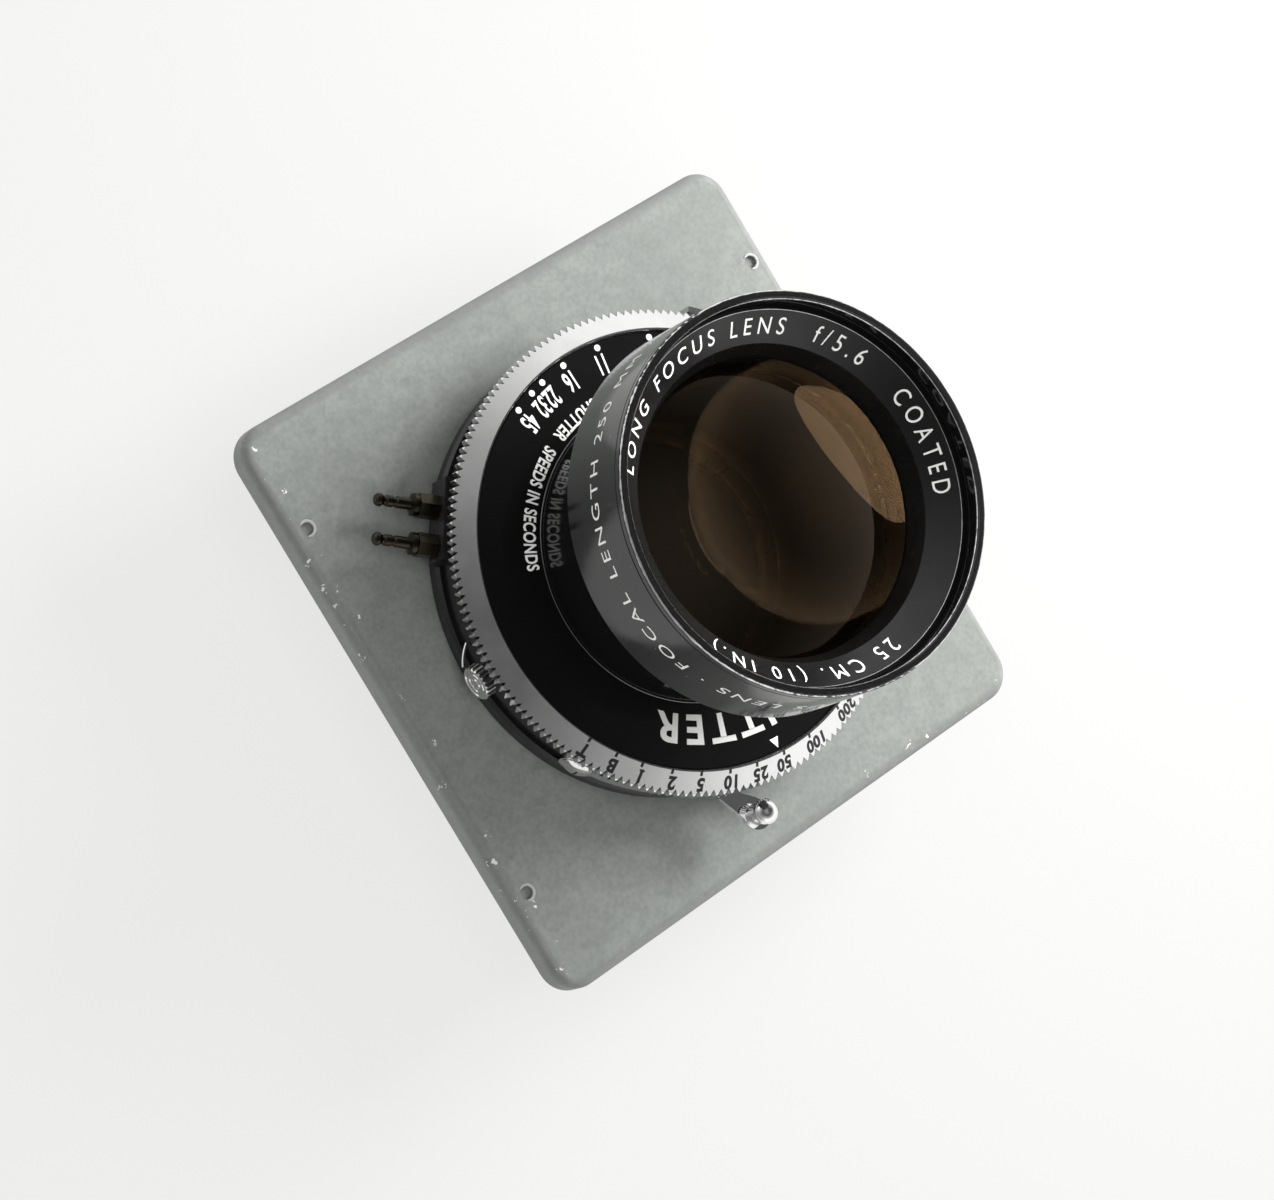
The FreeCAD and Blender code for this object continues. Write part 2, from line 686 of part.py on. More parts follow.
def cocking_lever():
    body = new_body("cocking_lever")
    low = above_board(dim("setting_ring_height"))
    thick = dim("setting_ring_sheet")
    inner = dim("sector_pitch_radius") - dim("gear_module") * 1.25
    arm = 5.8
    reach = DIMENSIONS["knob_reach"]
    middle, end = DIMENSIONS["cocking_angle"], DIMENSIONS["knob_angle"]
    turn_feature(body, "Revolution", block(inner, dim("speed_ring_radius") + 0.4, low, low + thick), arm, middle)
    plate = new_sketch(body, lift=low)
    draw_outline(plate, [
        polar_point(37.6, middle - arm / 2), polar_point(42.5, end - 2.6), polar_point(reach + 2.1, end - 1.0),
        polar_point(reach + 2.3, end), polar_point(reach + 1.0, end + 2.8), polar_point(reach - 1.0, end + 2.9),
        polar_point(39.3, end + 1.0), polar_point(38.1, middle + arm / 2 + 0.8), polar_point(37.6, middle + arm / 2)])
    pad(body, plate, thick)
    disc = new_sketch(body, lift=low)
    draw_circle(disc, *polar_point(dim("knob_reach"), end), 2.4)
    pad(body, disc, thick)


def cocking_knob():
    low = above_board(dim("setting_ring_height") + dim("setting_ring_sheet"))
    top = above_board(dim("knob_top"))
    radius = dim("knob_radius")
    body = turned("cocking_knob", [
        (0, low), (radius - 0.25, low), (radius - 0.55, low + 1.4), (radius, low + 2.3),
        (radius, top - 1.1), (0.4, top, 2.0, -1), (0, top)])
    body.Placement = turned_to(DIMENSIONS["knob_angle"]) * Placement(Vector(DIMENSIONS["knob_reach"], 0, 0), Rotation())


def main_spring():
    """A wire coil round the front tube, three turns."""
    coil = doc.addObject("Part::Helix", "main_spring_coil")
    coil.setExpression("Pitch", "0.65")
    coil.setExpression("Height", "1.95")
    coil.setExpression("Radius", (dim("tube_outer") + 0.8).formula)
    wire = doc.addObject("Part::Circle", "main_spring_wire")
    wire.Radius = 0.24
    wire.Placement = Placement(Vector(DIMENSIONS["tube_outer"] + 0.8, 0, 0), Rotation(Vector(1, 0, 0), 90))
    doc.recompute()
    spring = doc.addObject("Part::Sweep", "main_spring")
    spring.Sections = [wire]
    spring.Spine = (coil, ["Edge1"])
    spring.Solid = True
    spring.Frenet = True
    spring.Label = "main_spring"
    spring.Placement = Placement(Vector(0, 0, DIMENSIONS["board_front"] + 9.95), Rotation())
    nodes.append(spring)


def star_wheel():
    low = above_board(dim("setting_ring_height"))
    module = DIMENSIONS["gear_module"]
    root = dim("pinion_pitch_radius") - dim("gear_module") * 1.15
    body = turned("star_wheel", block(0, root, low, low + 0.9))
    flank = involute_tooth(DIMENSIONS["pinion_pitch_radius"], PINION_TEETH, 0.75 * module, root.value, 0.06)
    add_teeth(body, flank, low, 0.9, PINION_TEETH, 360.0 / PINION_TEETH, 0.0)
    arbor = new_sketch(body, lift=above_board(dim("cavity_step_height") + 0.1))
    draw_circle(arbor, 0, 0, 0.5)
    pad(body, arbor, 4.0)
    star_low = above_board(dim("setting_ring_height") + 1.6)
    disc = new_sketch(body, lift=star_low)
    draw_circle(disc, 0, 0, 2.5)
    pad(body, disc, 0.4)
    point = new_sketch(body, lift=star_low)
    draw_outline(point, [(2.3, -0.45), (3.3, -0.08), (3.3, 0.08), (2.3, 0.45)])
    tooth = pad(body, point, 0.4)
    repeat(body, [tooth], STAR_TEETH)
    reach, angle = gear_places()["star"]
    meshed = angle + 180.0 + 180.0 / PINION_TEETH
    body.Placement = turned_to(angle) * Placement(Vector(reach.value, 0, 0), Rotation(Z_AXIS, meshed - angle))


def pallet():
    body = new_body("pallet")
    anchor = new_sketch(body, lift=above_board(dim("setting_ring_height") + 1.6))
    draw_outline(anchor, [
        (-2.2, -1.1), (0.5, -1.5), (4.2, -2.6), (4.6, -2.0), (2.0, -0.5), (2.0, 0.5), (4.6, 2.0), (4.2, 2.6),
        (0.5, 1.5), (-2.2, 1.1)])
    pad(body, anchor, 0.5)
    arbor = new_sketch(body, lift=above_board(dim("cavity_step_height") + 0.1))
    draw_circle(arbor, 0, 0, 0.5)
    pad(body, arbor, 4.0)
    reach, angle = gear_places()["pallet"]
    body.Placement = turned_to(angle) * Placement(Vector(reach.value, 0, 0), Rotation(Z_AXIS, 95.0))


def gear_bridge():
    body = new_body("gear_bridge")
    low = above_board(dim("setting_ring_height") + 2.4)
    plate_low = above_board(dim("cavity_step_height") + dim("gear_plate_sheet"))
    turn_feature(body, "Revolution", block(26.2, 32.6, low, low + 0.5), 50.0, 224.0)
    for angle in (202.5, 245.5):
        pillar = new_sketch(body, lift=plate_low)
        draw_circle(pillar, *polar_point(29.5, angle), 1.4)
        pad(body, pillar, low + 0.3 - plate_low)
        drill(body, [(as_size(29.5), angle)], 0.62, low - 1.2, 2.5)
    places = gear_places()
    drill(body, [places["star"], places["pallet"]], 0.57, low, 1.0)


def slotted_screw(name, head_radius, head_height, shank_radius, shank_length, dome_radius=0.0, slot_length=8.0):
    """A screw with its head's underside at height 0, pointing down. The head is flat unless it has a dome radius."""
    head = doc.addObject("Part::Cylinder", f"{name}_head")
    head.Radius, head.Height = head_radius, head_height
    if dome_radius:
        ball = doc.addObject("Part::Sphere", f"{name}_dome")
        ball.Radius = dome_radius
        ball.Placement.Base = Vector(0, 0, head_height - dome_radius)
        domed = doc.addObject("Part::Common", f"{name}_domed_head")
        domed.Base, domed.Tool = head, ball
        head = domed
    shank = doc.addObject("Part::Cylinder", f"{name}_shank")
    shank.Radius, shank.Height = shank_radius, shank_length
    shank.Placement.Base = Vector(0, 0, -shank_length)
    whole = doc.addObject("Part::Fuse", f"{name}_blank")
    whole.Base, whole.Tool = head, shank
    slot = doc.addObject("Part::Box", f"{name}_slot")
    slot.Length, slot.Width, slot.Height = slot_length, 0.3, head_height
    slot.Placement.Base = Vector(-slot_length / 2, -0.15, head_height * 0.5)
    screw = doc.addObject("Part::Cut", name)
    screw.Base, screw.Tool = whole, slot
    return screw


def mechanism_screws():
    bridge_top = DIMENSIONS["board_front"] + DIMENSIONS["setting_ring_height"] + 2.9
    plate_top = DIMENSIONS["board_front"] + DIMENSIONS["cavity_step_height"] + DIMENSIONS["gear_plate_sheet"]
    places = [(29.5, 202.5, bridge_top, 1.2), (29.5, 245.5, bridge_top, 1.2)]
    places += [(31.8, angle, plate_top, 0.75) for angle in PLATE_SCREW_ANGLES]
    screws = []
    for number, (reach, angle, height, shank) in enumerate(places):
        screw = slotted_screw(f"mechanism_screw_{number}", 1.15, 0.42, 0.58, shank)
        screw.Placement = turned_to(angle) * Placement(Vector(reach, 0, height), Rotation(Z_AXIS, 25.0 * number))
        screws.append(screw)
    group = doc.addObject("Part::Compound", "mechanism_screws")
    group.Links = screws
    group.Label = "mechanism_screws"
    nodes.append(group)


def release_catch():
    body = new_body("release_catch")
    pawl = new_sketch(body, lift=above_board(dim("setting_ring_height")))
    draw_outline(pawl, [
        (-1.6, -2.6), (1.2, -2.2), (1.4, 1.2), (-2.6, 5.4), (-4.2, 5.8), (-4.3, 4.9), (-1.9, 2.2)])
    pad(body, pawl, 0.7)
    arbor = new_sketch(body, lift=above_board(dim("cavity_step_height") + 0.1))
    draw_circle(arbor, 0, 0, 0.5)
    pad(body, arbor, 3.0)
    reach, angle = gear_places()["catch"]
    body.Placement = turned_to(angle) * Placement(Vector(reach.value, 0, 0), Rotation())


# ---------------------------------------------------------------- speed scale and face

def speed_cam_plate():
    low = above_board(dim("cam_height"))
    body = turned("speed_cam_plate", block(dim("face_hub_radius") + 0.08, dim("speed_ring_bore") + 0.5, low,
                                           low + dim("cam_sheet")))
    turn_feature(body, "Groove", block(28.5, 31.5, low - 1, low + 2), 52.0, 150.0)
    turn_feature(body, "Groove", block(27.5, 30.0, low - 1, low + 2), 38.0, 262.0)


def face_plate():
    hub_low = above_board(dim("cam_height") - 0.1)
    top = above_board(dim("face_height"))
    low = top - dim("face_sheet")
    bore = dim("tube_outer") - 0.33
    turned("face_plate", [
        (bore, hub_low), (dim("face_hub_radius"), hub_low), (dim("face_hub_radius"), low),
        (dim("face_radius"), low), (dim("face_radius"), top - 0.2), (dim("face_radius") - 0.2, top), (bore, top)])


def speed_ring():
    low = above_board(dim("speed_ring_bottom"))
    edge = above_board(dim("speed_ring_edge"))
    top = above_board(dim("speed_ring_top"))
    bore, outer = dim("speed_ring_bore"), dim("speed_ring_radius")
    seat = above_board(dim("cam_height")) + dim("cam_sheet")
    body = turned("speed_ring", [
        (bore + 0.55, low), (outer - 0.1, low), (outer, low + 0.1), (outer, edge), (outer - 0.25, edge + 0.2),
        (bore + 0.35, top), (bore, top - 0.25, 0.35, -1), (bore, seat), (bore + 0.55, seat)])
    notch = new_sketch(body, lift=low - 1)
    half = math.pi * DIMENSIONS["speed_ring_radius"] / SPEED_TEETH
    draw_outline(notch, [(outer - dim("speed_tooth_depth"), 0), (outer + 0.3, -half * 1.2), (outer + 0.3, half * 1.2)])
    cut = pocket_up(body, notch, 6)
    repeat(body, [cut], SPEED_TEETH)


def speed_click_spring():
    body = new_body("speed_click_spring")
    low = above_board(dim("setting_ring_height") + 0.8)
    turn_feature(body, "Revolution", block(32.7, 33.0, low, low + 2.6), 30.0, 300.0)


# ---------------------------------------------------------------- release, press focus, cable socket, contacts

def release_lever():
    body = new_body("release_lever")
    inner = dim("case_radius") + 0.4
    outer = inner + dim("release_sheet")
    height = above_board(dim("release_height"))
    turn_feature(body, "Revolution", block(inner, outer, height - 0.9, height + 1.2), 29.5, 13.75)
    face = new_sketch(body, "YZ_Plane")
    face.AttachmentOffset = Placement(Vector(0, 0, inner.value), Rotation())
    face.setExpression("AttachmentOffset.Base.z", inner.formula)
    draw_circle(face, 0, height, 2.9)
    pad(body, face, dim("release_sheet"))
    hole = new_sketch(body, "YZ_Plane")
    hole.AttachmentOffset = Placement(Vector(0, 0, inner.value - 1), Rotation())
    draw_circle(hole, 0, height, 0.82)
    add_feature(body, "Pocket", hole, Length=as_size(4), Reversed=True)
    body.Placement = turned_to(DIMENSIONS["release_angle"])


def release_lever_screw():
    screw = slotted_screw("release_lever_screw", 2.5, 1.0, 0.74, 1.6, 3.9, 1.6)
    reach = DIMENSIONS["case_radius"] + 0.4 + DIMENSIONS["release_sheet"] + 0.05
    screw.Placement = radial(DIMENSIONS["release_angle"], reach, DIMENSIONS["board_front"] + DIMENSIONS["release_height"])
    screw.Label = "release_lever_screw"
    nodes.append(screw)


def press_focus_button():
    radius = dim("button_radius")
    body = turned("press_focus_button", [
        (0, 0), (1.0, 0), (1.0, 2.0), (radius - 0.15, 2.0), (radius, 2.15), (radius, 3.6), (radius - 0.25, 3.85),
        (radius - 0.5, 3.85), (radius - 0.65, 3.7), (radius - 0.95, 3.7), (radius - 1.1, 3.8), (radius - 1.3, 3.8),
        (radius - 1.45, 3.65), (0.9, 3.65), (0.7, 3.8), (0, 3.8)])
    flute = new_sketch(body, lift=as_size(1))
    draw_circle(flute, radius + 0.12, 0, 0.34)
    cut = pocket_up(body, flute, 5)
    repeat(body, [cut], 22)
    height = DIMENSIONS["board_front"] + DIMENSIONS["button_height"]
    body.Placement = radial(DIMENSIONS["button_angle"], DIMENSIONS["cavity_step_radius"] + 0.3, height)


def press_focus_spring():
    """A short bent wire from the side of the case to the button."""
    body = new_body("press_focus_spring")
    height = above_board(dim("button_height") - 1.3)
    path = new_sketch(body, lift=height)
    start, middle, end = Vector(35.25, -4.9, 0), Vector(36.6, -3.7, 0), Vector(37.7, -2.15, 0)
    bend = path.addGeometry(Part.Arc(start, middle, end))
    path.addConstraint(Sketcher.Constraint("Block", bend))
    wire = new_sketch(body, "YZ_Plane")
    doc.recompute()
    first = path.Shape.Edges[0]
    tangent = first.tangentAt(first.FirstParameter)
    wire.MapMode = "Deactivated"
    wire.Placement = Placement(first.valueAt(first.FirstParameter), Rotation(Z_AXIS, tangent))
    circle = wire.addGeometry(Part.Circle(Vector(), Z_AXIS, 0.27))
    wire.addConstraint(Sketcher.Constraint("Coincident", circle, 3, -1, 1))
    wire.addConstraint(Sketcher.Constraint("Radius", circle, 0.27))
    add_feature(body, "AdditivePipe", wire, Spine=(path, ["Edge1"]))


def cable_release_socket():
    body = turned("cable_release_socket", [
        (dim("socket_bore"), 1.5), (0, 1.5), (0, 0), (2.1, 0), (2.1, 2.6), (2.9, 2.6), (2.9, 3.4), (2.4, 3.4),
        (2.4, 6.1), (2.1, 6.5), (dim("socket_bore"), 6.5)])
    height = DIMENSIONS["board_front"] + DIMENSIONS["contact_height"]
    body.Placement = radial(DIMENSIONS["socket_angle"], DIMENSIONS["cavity_step_radius"] - 0.2, height)


def contact_block():
    body = new_body("contact_block")
    low = above_board(dim("flange_height") + 0.05)
    face = new_sketch(body, "YZ_Plane")
    face.AttachmentOffset = Placement(Vector(0, 0, 33.0), Rotation())
    draw_outline(face, [(-7.3, low), (5.3, low), (5.3, low + 5.0), (-7.3, low + 5.0)])
    pad(body, face, 4.0)
    turn_feature(body, "Groove", block(20, dim("case_radius"), low - 1, low + 6))
    body.Placement = turned_to(DIMENSIONS["contact_angle"])


def contact_pin(name, side):
    body = turned(name, [
        (0, 0), (0.92, 0), (0.92, 3.4), (1.75, 3.4), (1.75, 4.1), (0.9, 4.4), (0.9, 6.6), (0.76, 6.75), (0.76, 7.15),
        (0.9, 7.3), (0.9, 8.2), (0.72, 8.45), (0.72, 8.7), (1.02, 9.2), (1.02, 9.5), (0.6, 10.1, 0.9, -1), (0, 10.1)])
    height = DIMENSIONS["board_front"] + DIMENSIONS["contact_height"]
    body.Placement = radial(DIMENSIONS["contact_angle"], 37.0, height, side * DIMENSIONS["contact_spacing"] / 2)


def contact_nuts():
    """The two hexagonal feet of the flash contacts."""
    height = DIMENSIONS["board_front"] + DIMENSIONS["contact_height"]
    feet = []
    for side in (-0.5, 0.5):
        blank = doc.addObject("Part::Prism", "contact_nut_blank")
        blank.Polygon, blank.Circumradius, blank.Height = 6, 1.95, 3.2
        bore = doc.addObject("Part::Cylinder", "contact_nut_bore")
        bore.Radius, bore.Height = 0.97, 4
        foot = doc.addObject("Part::Cut", "contact_nut")
        foot.Base, foot.Tool = blank, bore
        foot.Placement = radial(DIMENSIONS["contact_angle"], 37.05, height, side * DIMENSIONS["contact_spacing"])
        feet.append(foot)
    group = doc.addObject("Part::Compound", "contact_nuts")
    group.Links = feet
    group.Label = "contact_nuts"
    nodes.append(group)


def contact_arm():
    body = new_body("contact_arm")
    low = above_board(dim("setting_ring_height") - 0.1)
    turn_feature(body, "Revolution", block(33.3, 33.6, low, low + 1.6), 22.0, DIMENSIONS["contact_angle"])


# ---------------------------------------------------------------- front and rear cells

def front_barrel():
    face = above_board(dim("face_height"))
    band, band_low = dim("band_radius"), above_board(dim("band_height"))
    rim, bore = above_board(dim("rim_height")), dim("rim_bore")
    seat, pocket = above_board(dim("glass_seat_height")), dim("glass_radius") + 0.1
    step = above_board(dim("glass_front_height") - 3.45)
    neck, neck_top = dim("neck_radius"), above_board(dim("neck_height"))
    turned("front_barrel", [
        (17.0, above_board(9.6)), (dim("tube_bore") - 0.05, above_board(9.6)), (dim("tube_bore") - 0.05, face),
        (neck, face), (neck, neck_top), (neck + 1.4, neck_top + 4.0, 9.0, 1), (band - 0.9, band_low - 0.6),
        (band - 0.3, band_low - 0.3), (band, band_low), (band, rim - 1.6), (band - 0.12, rim - 1.5),
        (band - 0.12, rim - 1.4), (band, rim - 1.3), (band, rim - 0.5), (band - 0.45, rim, 0.5, -1), (bore + 0.35, rim),
        (bore, rim - 0.4),
        (bore, step), (pocket, step), (pocket, seat), (pocket - 1.6, seat), (18.2, face + 1.0), (17.0, face - 1.0)])


def front_name_ring():
    low = above_board(dim("glass_front_height") - 3.4)
    inner, outer = dim("name_ring_inner"), dim("name_ring_outer")
    inner_low, outer_high = above_board(dim("name_ring_low")), above_board(dim("name_ring_high"))
    turned("front_name_ring", [
        (dim("glass_clear_radius") + 0.05, low), (dim("rim_bore") - 0.05, low), (dim("rim_bore") - 0.05, outer_high),
        (outer, outer_high), (inner, inner_low), (dim("glass_clear_radius") + 0.05, low + 0.7)])


def lens_element(name, radius, low, high, front_vertex, front_curve, back_vertex, back_curve):
    """A glass disc from low to high, between two spherical faces that bulge forwards where a curve is positive."""
    disc = doc.addObject("Part::Cylinder", f"{name}_disc")
    disc.setExpression("Radius", radius.formula)
    disc.setExpression("Height", (high - low).formula)
    disc.setExpression("Placement.Base.z", low.formula)
    shape = disc
    for face, vertex, curve in (("front", front_vertex, front_curve), ("back", back_vertex, back_curve)):
        ball = doc.addObject("Part::Sphere", f"{name}_{face}")
        bulges_forwards = curve.value > 0
        ball.setExpression("Radius", (curve if bulges_forwards else -curve).formula)
        ball.setExpression("Placement.Base.z", (vertex - curve).formula)
        keeps_inside = bulges_forwards == (face == "front")
        shaped = doc.addObject("Part::Common" if keeps_inside else "Part::Cut", f"{name}_{face}_shaped")
        shaped.Base, shaped.Tool = shape, ball
        shape = shaped
    shape.Label = name
    nodes.append(shape)


def lens_elements():
    """Two cemented pairs: a telephoto's positive front pair and its negative rear pair."""
    front, joint = above_board(dim("glass_front_height")), above_board(dim("glass_joint_height"))
    seat = above_board(dim("glass_seat_height"))
    radius = dim("glass_radius")
    lens_element("front_convex_element", radius, joint - 1, front + 1, front, dim("front_glass_curve"), joint,
                 -dim("front_joint_curve"))
    lens_element("front_concave_element", radius, seat, joint + 2.8, joint, -dim("front_joint_curve"), seat + 0.9,
                 dim("front_back_curve"))
    rear_seat, rear_joint = dim("rear_seat_height"), dim("rear_joint_height")
    radius = dim("rear_glass_radius")
    lens_element("rear_concave_element", radius, rear_joint - 2.6, rear_seat - 0.1, rear_seat - 3.6,
                 -dim("rear_glass_curve"), rear_joint, dim("rear_joint_curve"))
    lens_element("rear_convex_element", radius, rear_joint - 6, rear_joint + 1, rear_joint, dim("rear_joint_curve"),
                 rear_joint - 5.2, -dim("rear_back_curve"))


def rear_barrel():
    front = dim("board_front")
    grip_top = front - 7.05
    grip_low = grip_top - 3.15
    radius, grip = dim("rear_barrel_radius"), dim("rear_grip_radius")
    thread, bore = dim("collar_bore") - 0.05, dim("rear_glass_radius") + 0.05
    seat, ledge = dim("rear_seat_height"), dim("rear_seat_height") - 10.1
    counterbore = bore + 1.1
    body = turned("rear_barrel", [
        (counterbore, 0), (radius - 0.3, 0), (radius, 0.3), (radius, grip_low), (grip - 0.3, grip_low),
        (grip, grip_low + 0.3), (grip, grip_top - 0.3), (grip - 0.3, grip_top), (thread, grip_top),
        (thread, front - 0.6), (17.0, front - 0.6), (17.0, seat + 2), (dim("rear_clear_radius"), seat), (bore, seat),
        (bore, ledge), (counterbore, ledge)])
    flute = new_sketch(body, lift=grip_low - 1)
    draw_circle(flute, grip + 0.35, 0, 0.75)
    cut = pocket_up(body, flute, 6)
    repeat(body, [cut], 48)


def rear_retaining_ring():
    ledge = dim("rear_seat_height") - 10.1
    outer, low = dim("rear_glass_radius") + 1.1, ledge - 2.9
    body = turned("rear_retaining_ring", [
        (dim("rear_clear_radius") + 0.6, low), (outer, low), (outer, ledge - 0.1),
        (dim("rear_clear_radius"), ledge - 0.1), (dim("rear_clear_radius"), ledge - 0.5)])
    slot = new_sketch(body, lift=low)
    draw_outline(slot, [(17, -0.6), (22, -0.6), (22, 0.6), (17, 0.6)])
    cut = add_feature(body, "Pocket", slot, Length=as_size(1), Reversed=True)
    repeat(body, [cut], 2)


lens_board()
light_trap_frame()
shutter_retaining_ring()
shutter_case()
iris_base_ring()
for blade in range(IRIS_BLADES):
    iris_blade(blade)
iris_cam_ring()
aperture_lever()
mechanism_plate()
for blade in range(SHUTTER_BLADES):
    shutter_blade(blade)
blade_ring()
gear_plate()
front_tube()
setting_ring()
cocking_lever()
cocking_knob()
main_spring()
star_wheel()
pallet()
gear_bridge()
mechanism_screws()
release_catch()
speed_cam_plate()
face_plate()
speed_ring()
speed_click_spring()
release_lever()
release_lever_screw()
press_focus_button()
press_focus_spring()
cable_release_socket()
contact_block()
contact_nuts()
contact_pin("contact_pin_upper", 1)
contact_pin("contact_pin_lower", -1)
contact_arm()
front_barrel()
front_name_ring()
lens_elements()
rear_barrel()
rear_retaining_ring()

doc.recompute()
for item in doc.Objects:
    if "Invalid" in item.State or "Error" in item.State:
        raise RuntimeError(f"{item.Label} has the state {item.State}")
for node in nodes:
    if node.Shape.isNull() or not node.Shape.isValid():
        raise RuntimeError(f"{node.Label} has no valid shape")

os.makedirs("parts", exist_ok=True)
for node in nodes:
    node.Shape.exportStep(f"parts/{node.Label}.step")
    print(node.Label, len(node.Shape.Solids), round(node.Shape.Volume, 2))
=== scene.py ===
import math

import bmesh
import bpy
from mathutils import Matrix, Vector


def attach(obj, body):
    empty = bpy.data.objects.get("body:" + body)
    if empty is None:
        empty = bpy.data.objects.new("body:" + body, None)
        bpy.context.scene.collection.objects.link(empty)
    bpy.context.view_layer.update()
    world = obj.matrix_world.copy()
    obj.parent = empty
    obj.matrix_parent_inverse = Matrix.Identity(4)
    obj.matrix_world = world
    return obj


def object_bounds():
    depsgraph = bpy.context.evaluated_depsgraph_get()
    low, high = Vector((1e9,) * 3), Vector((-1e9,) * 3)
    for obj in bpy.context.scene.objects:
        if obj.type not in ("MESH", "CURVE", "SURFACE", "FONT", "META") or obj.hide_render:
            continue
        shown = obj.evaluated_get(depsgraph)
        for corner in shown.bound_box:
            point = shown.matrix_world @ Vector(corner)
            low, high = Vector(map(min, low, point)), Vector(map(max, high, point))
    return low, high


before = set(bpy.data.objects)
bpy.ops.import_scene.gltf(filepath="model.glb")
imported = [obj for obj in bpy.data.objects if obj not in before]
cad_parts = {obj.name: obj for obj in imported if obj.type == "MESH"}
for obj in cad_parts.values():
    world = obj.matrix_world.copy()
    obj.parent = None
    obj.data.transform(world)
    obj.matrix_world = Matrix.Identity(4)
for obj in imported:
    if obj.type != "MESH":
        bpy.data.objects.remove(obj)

# A telephoto lens in a leaf shutter on a square lens board, standing on the rear end of its barrel.
# Lengths are millimetres and angles are degrees, unless a comment says otherwise. +Z is the optical axis.
# Angles are counter-clockwise from +X, seen from the front of the lens.

MM = 0.001
BOARD = 29.0                # the front of the board, above the floor
FACE_TOP = BOARD + 13.7     # the front of the face plate
RIM = BOARD + 52.7          # the front end of the barrel
INK_LIFT = 0.012            # lettering stands this far off its surface
INK_DEPTH = 0.02            # and is this thick
CAPITAL_SHARE = 0.72        # a capital letter's height, as a share of the font's size
cad_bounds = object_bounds()


# ---------------------------------------------------------------- materials

def feed(tree, socket, source):
    """Link a socket to another node's output, or give it a constant."""
    if isinstance(source, bpy.types.NodeSocket):
        tree.links.new(source, socket)
    else:
        socket.default_value = source


def add_node(tree, kind, settings=None, inputs=None):
    item = tree.nodes.new(kind)
    for key, setting in (settings or {}).items():
        setattr(item, key, setting)
    for key, source in (inputs or {}).items():
        feed(tree, item.inputs[key], source)
    return item


class Finish:
    """A material whose shader nodes are added one call at a time."""

    def __init__(self, name):
        self.material = bpy.data.materials.new(name)
        self.material.use_nodes = True
        self.tree = self.material.node_tree
        self.shader = self.tree.nodes["Principled BSDF"]
        self.place = self.node("ShaderNodeTexCoord").outputs["Object"]

    def node(self, kind, settings=None, inputs=None):
        return add_node(self.tree, kind, settings, inputs)

    def set(self, **values):
        """Feed the shader's own sockets, named with underscores for spaces."""
        for key, source in values.items():
            feed(self.tree, self.shader.inputs[key.replace("_", " ")], source)

    def math(self, operation, first, second=0.0, third=0.0):
        item = self.node("ShaderNodeMath", {"operation": operation})
        for socket, source in zip(item.inputs, (first, second, third)):
            feed(self.tree, socket, source)
        return item.outputs[0]

    def length(self, first, second):
        """The long side of a right triangle."""
        squares = self.math("ADD", self.math("MULTIPLY", first, first), self.math("MULTIPLY", second, second))
        return self.math("SQRT", squares)

    def noise(self, size, detail=3.0, roughness=0.5, place=None):
        """Noise whose features are about `size` millimetres across."""
        item = self.node("ShaderNodeTexNoise", inputs={
            "Vector": place or self.place, "Scale": 1.0 / (size * MM),
            "Detail": detail, "Roughness": roughness})
        return item.outputs["Fac"]

    def ramp(self, source, low, high, to_low=0.0, to_high=1.0):
        """A smooth step from `to_low` at `low` to `to_high` at `high`."""
        item = self.node("ShaderNodeMapRange", {"interpolation_type": "SMOOTHSTEP"}, {
            "Value": source, "From Min": low, "From Max": high, "To Min": to_low, "To Max": to_high})
        return item.outputs["Result"]

    def mix(self, factor, first, second):
        """A blend of two colours. The sockets are numbered, since their names repeat for each kind of data."""
        item = self.node("ShaderNodeMix", {"data_type": "RGBA"}, {0: factor, 6: first, 7: second})
        return item.outputs[2]

    def bump(self, height, distance, strength=1.0, normal=None):
        """A bump whose full height is `distance` millimetres."""
        inputs = {"Height": height, "Distance": distance * MM, "Strength": strength}
        if normal is not None:
            inputs["Normal"] = normal
        return self.node("ShaderNodeBump", inputs=inputs).outputs["Normal"]

    def parts(self):
        """The object's own X, Y and Z, in metres."""
        return self.node("ShaderNodeSeparateXYZ", inputs={"Vector": self.place}).outputs

    def round_place(self, along, around):
        """Coordinates round the optical axis: angle times `around`, then reach and Z times `along`."""
        x, y, z = self.parts()
        angle = self.math("ARCTAN2", y, x)
        reach = self.length(x, y)
        return self.node("ShaderNodeCombineXYZ", inputs={
            "X": self.math("MULTIPLY", angle, around), "Y": self.math("MULTIPLY", reach, along),
            "Z": self.math("MULTIPLY", z, along)}).outputs[0]

    def specks(self, spacing, radius, share):
        """1 on small dots and 0 elsewhere. `share` of the cells, `spacing` millimetres apart, hold a dot."""
        cells = self.node("ShaderNodeTexVoronoi", inputs={
            "Vector": self.place, "Scale": 1.0 / (spacing * MM)})
        near = self.math("LESS_THAN", cells.outputs["Distance"], radius / spacing)
        tone = self.node("ShaderNodeSeparateColor", inputs={"Color": cells.outputs["Color"]})
        chosen = self.math("LESS_THAN", tone.outputs[0], share)
        return self.math("MULTIPLY", near, chosen)


def grey(value, warmth=0.0):
    return (value * (1 + warmth), value, value * (1 - warmth), 1.0)


PAINT_DARK = (0.148, 0.158, 0.149, 1)
PAINT_LIGHT = (0.182, 0.193, 0.182, 1)
PAINT_PATCH = (0.25, 0.262, 0.246, 1)
PAINT_STAIN = (0.12, 0.128, 0.12, 1)
PAINT_GRIME = (0.1, 0.105, 0.098, 1)
PAINT_SCUFF = (0.06, 0.062, 0.058, 1)
# The colour of the painted shade along the board's bends.
PAINT_BEND_SHADE = (0.11, 0.115, 0.108, 1)
BARE_BOARD = (0.60, 0.59, 0.55, 1)


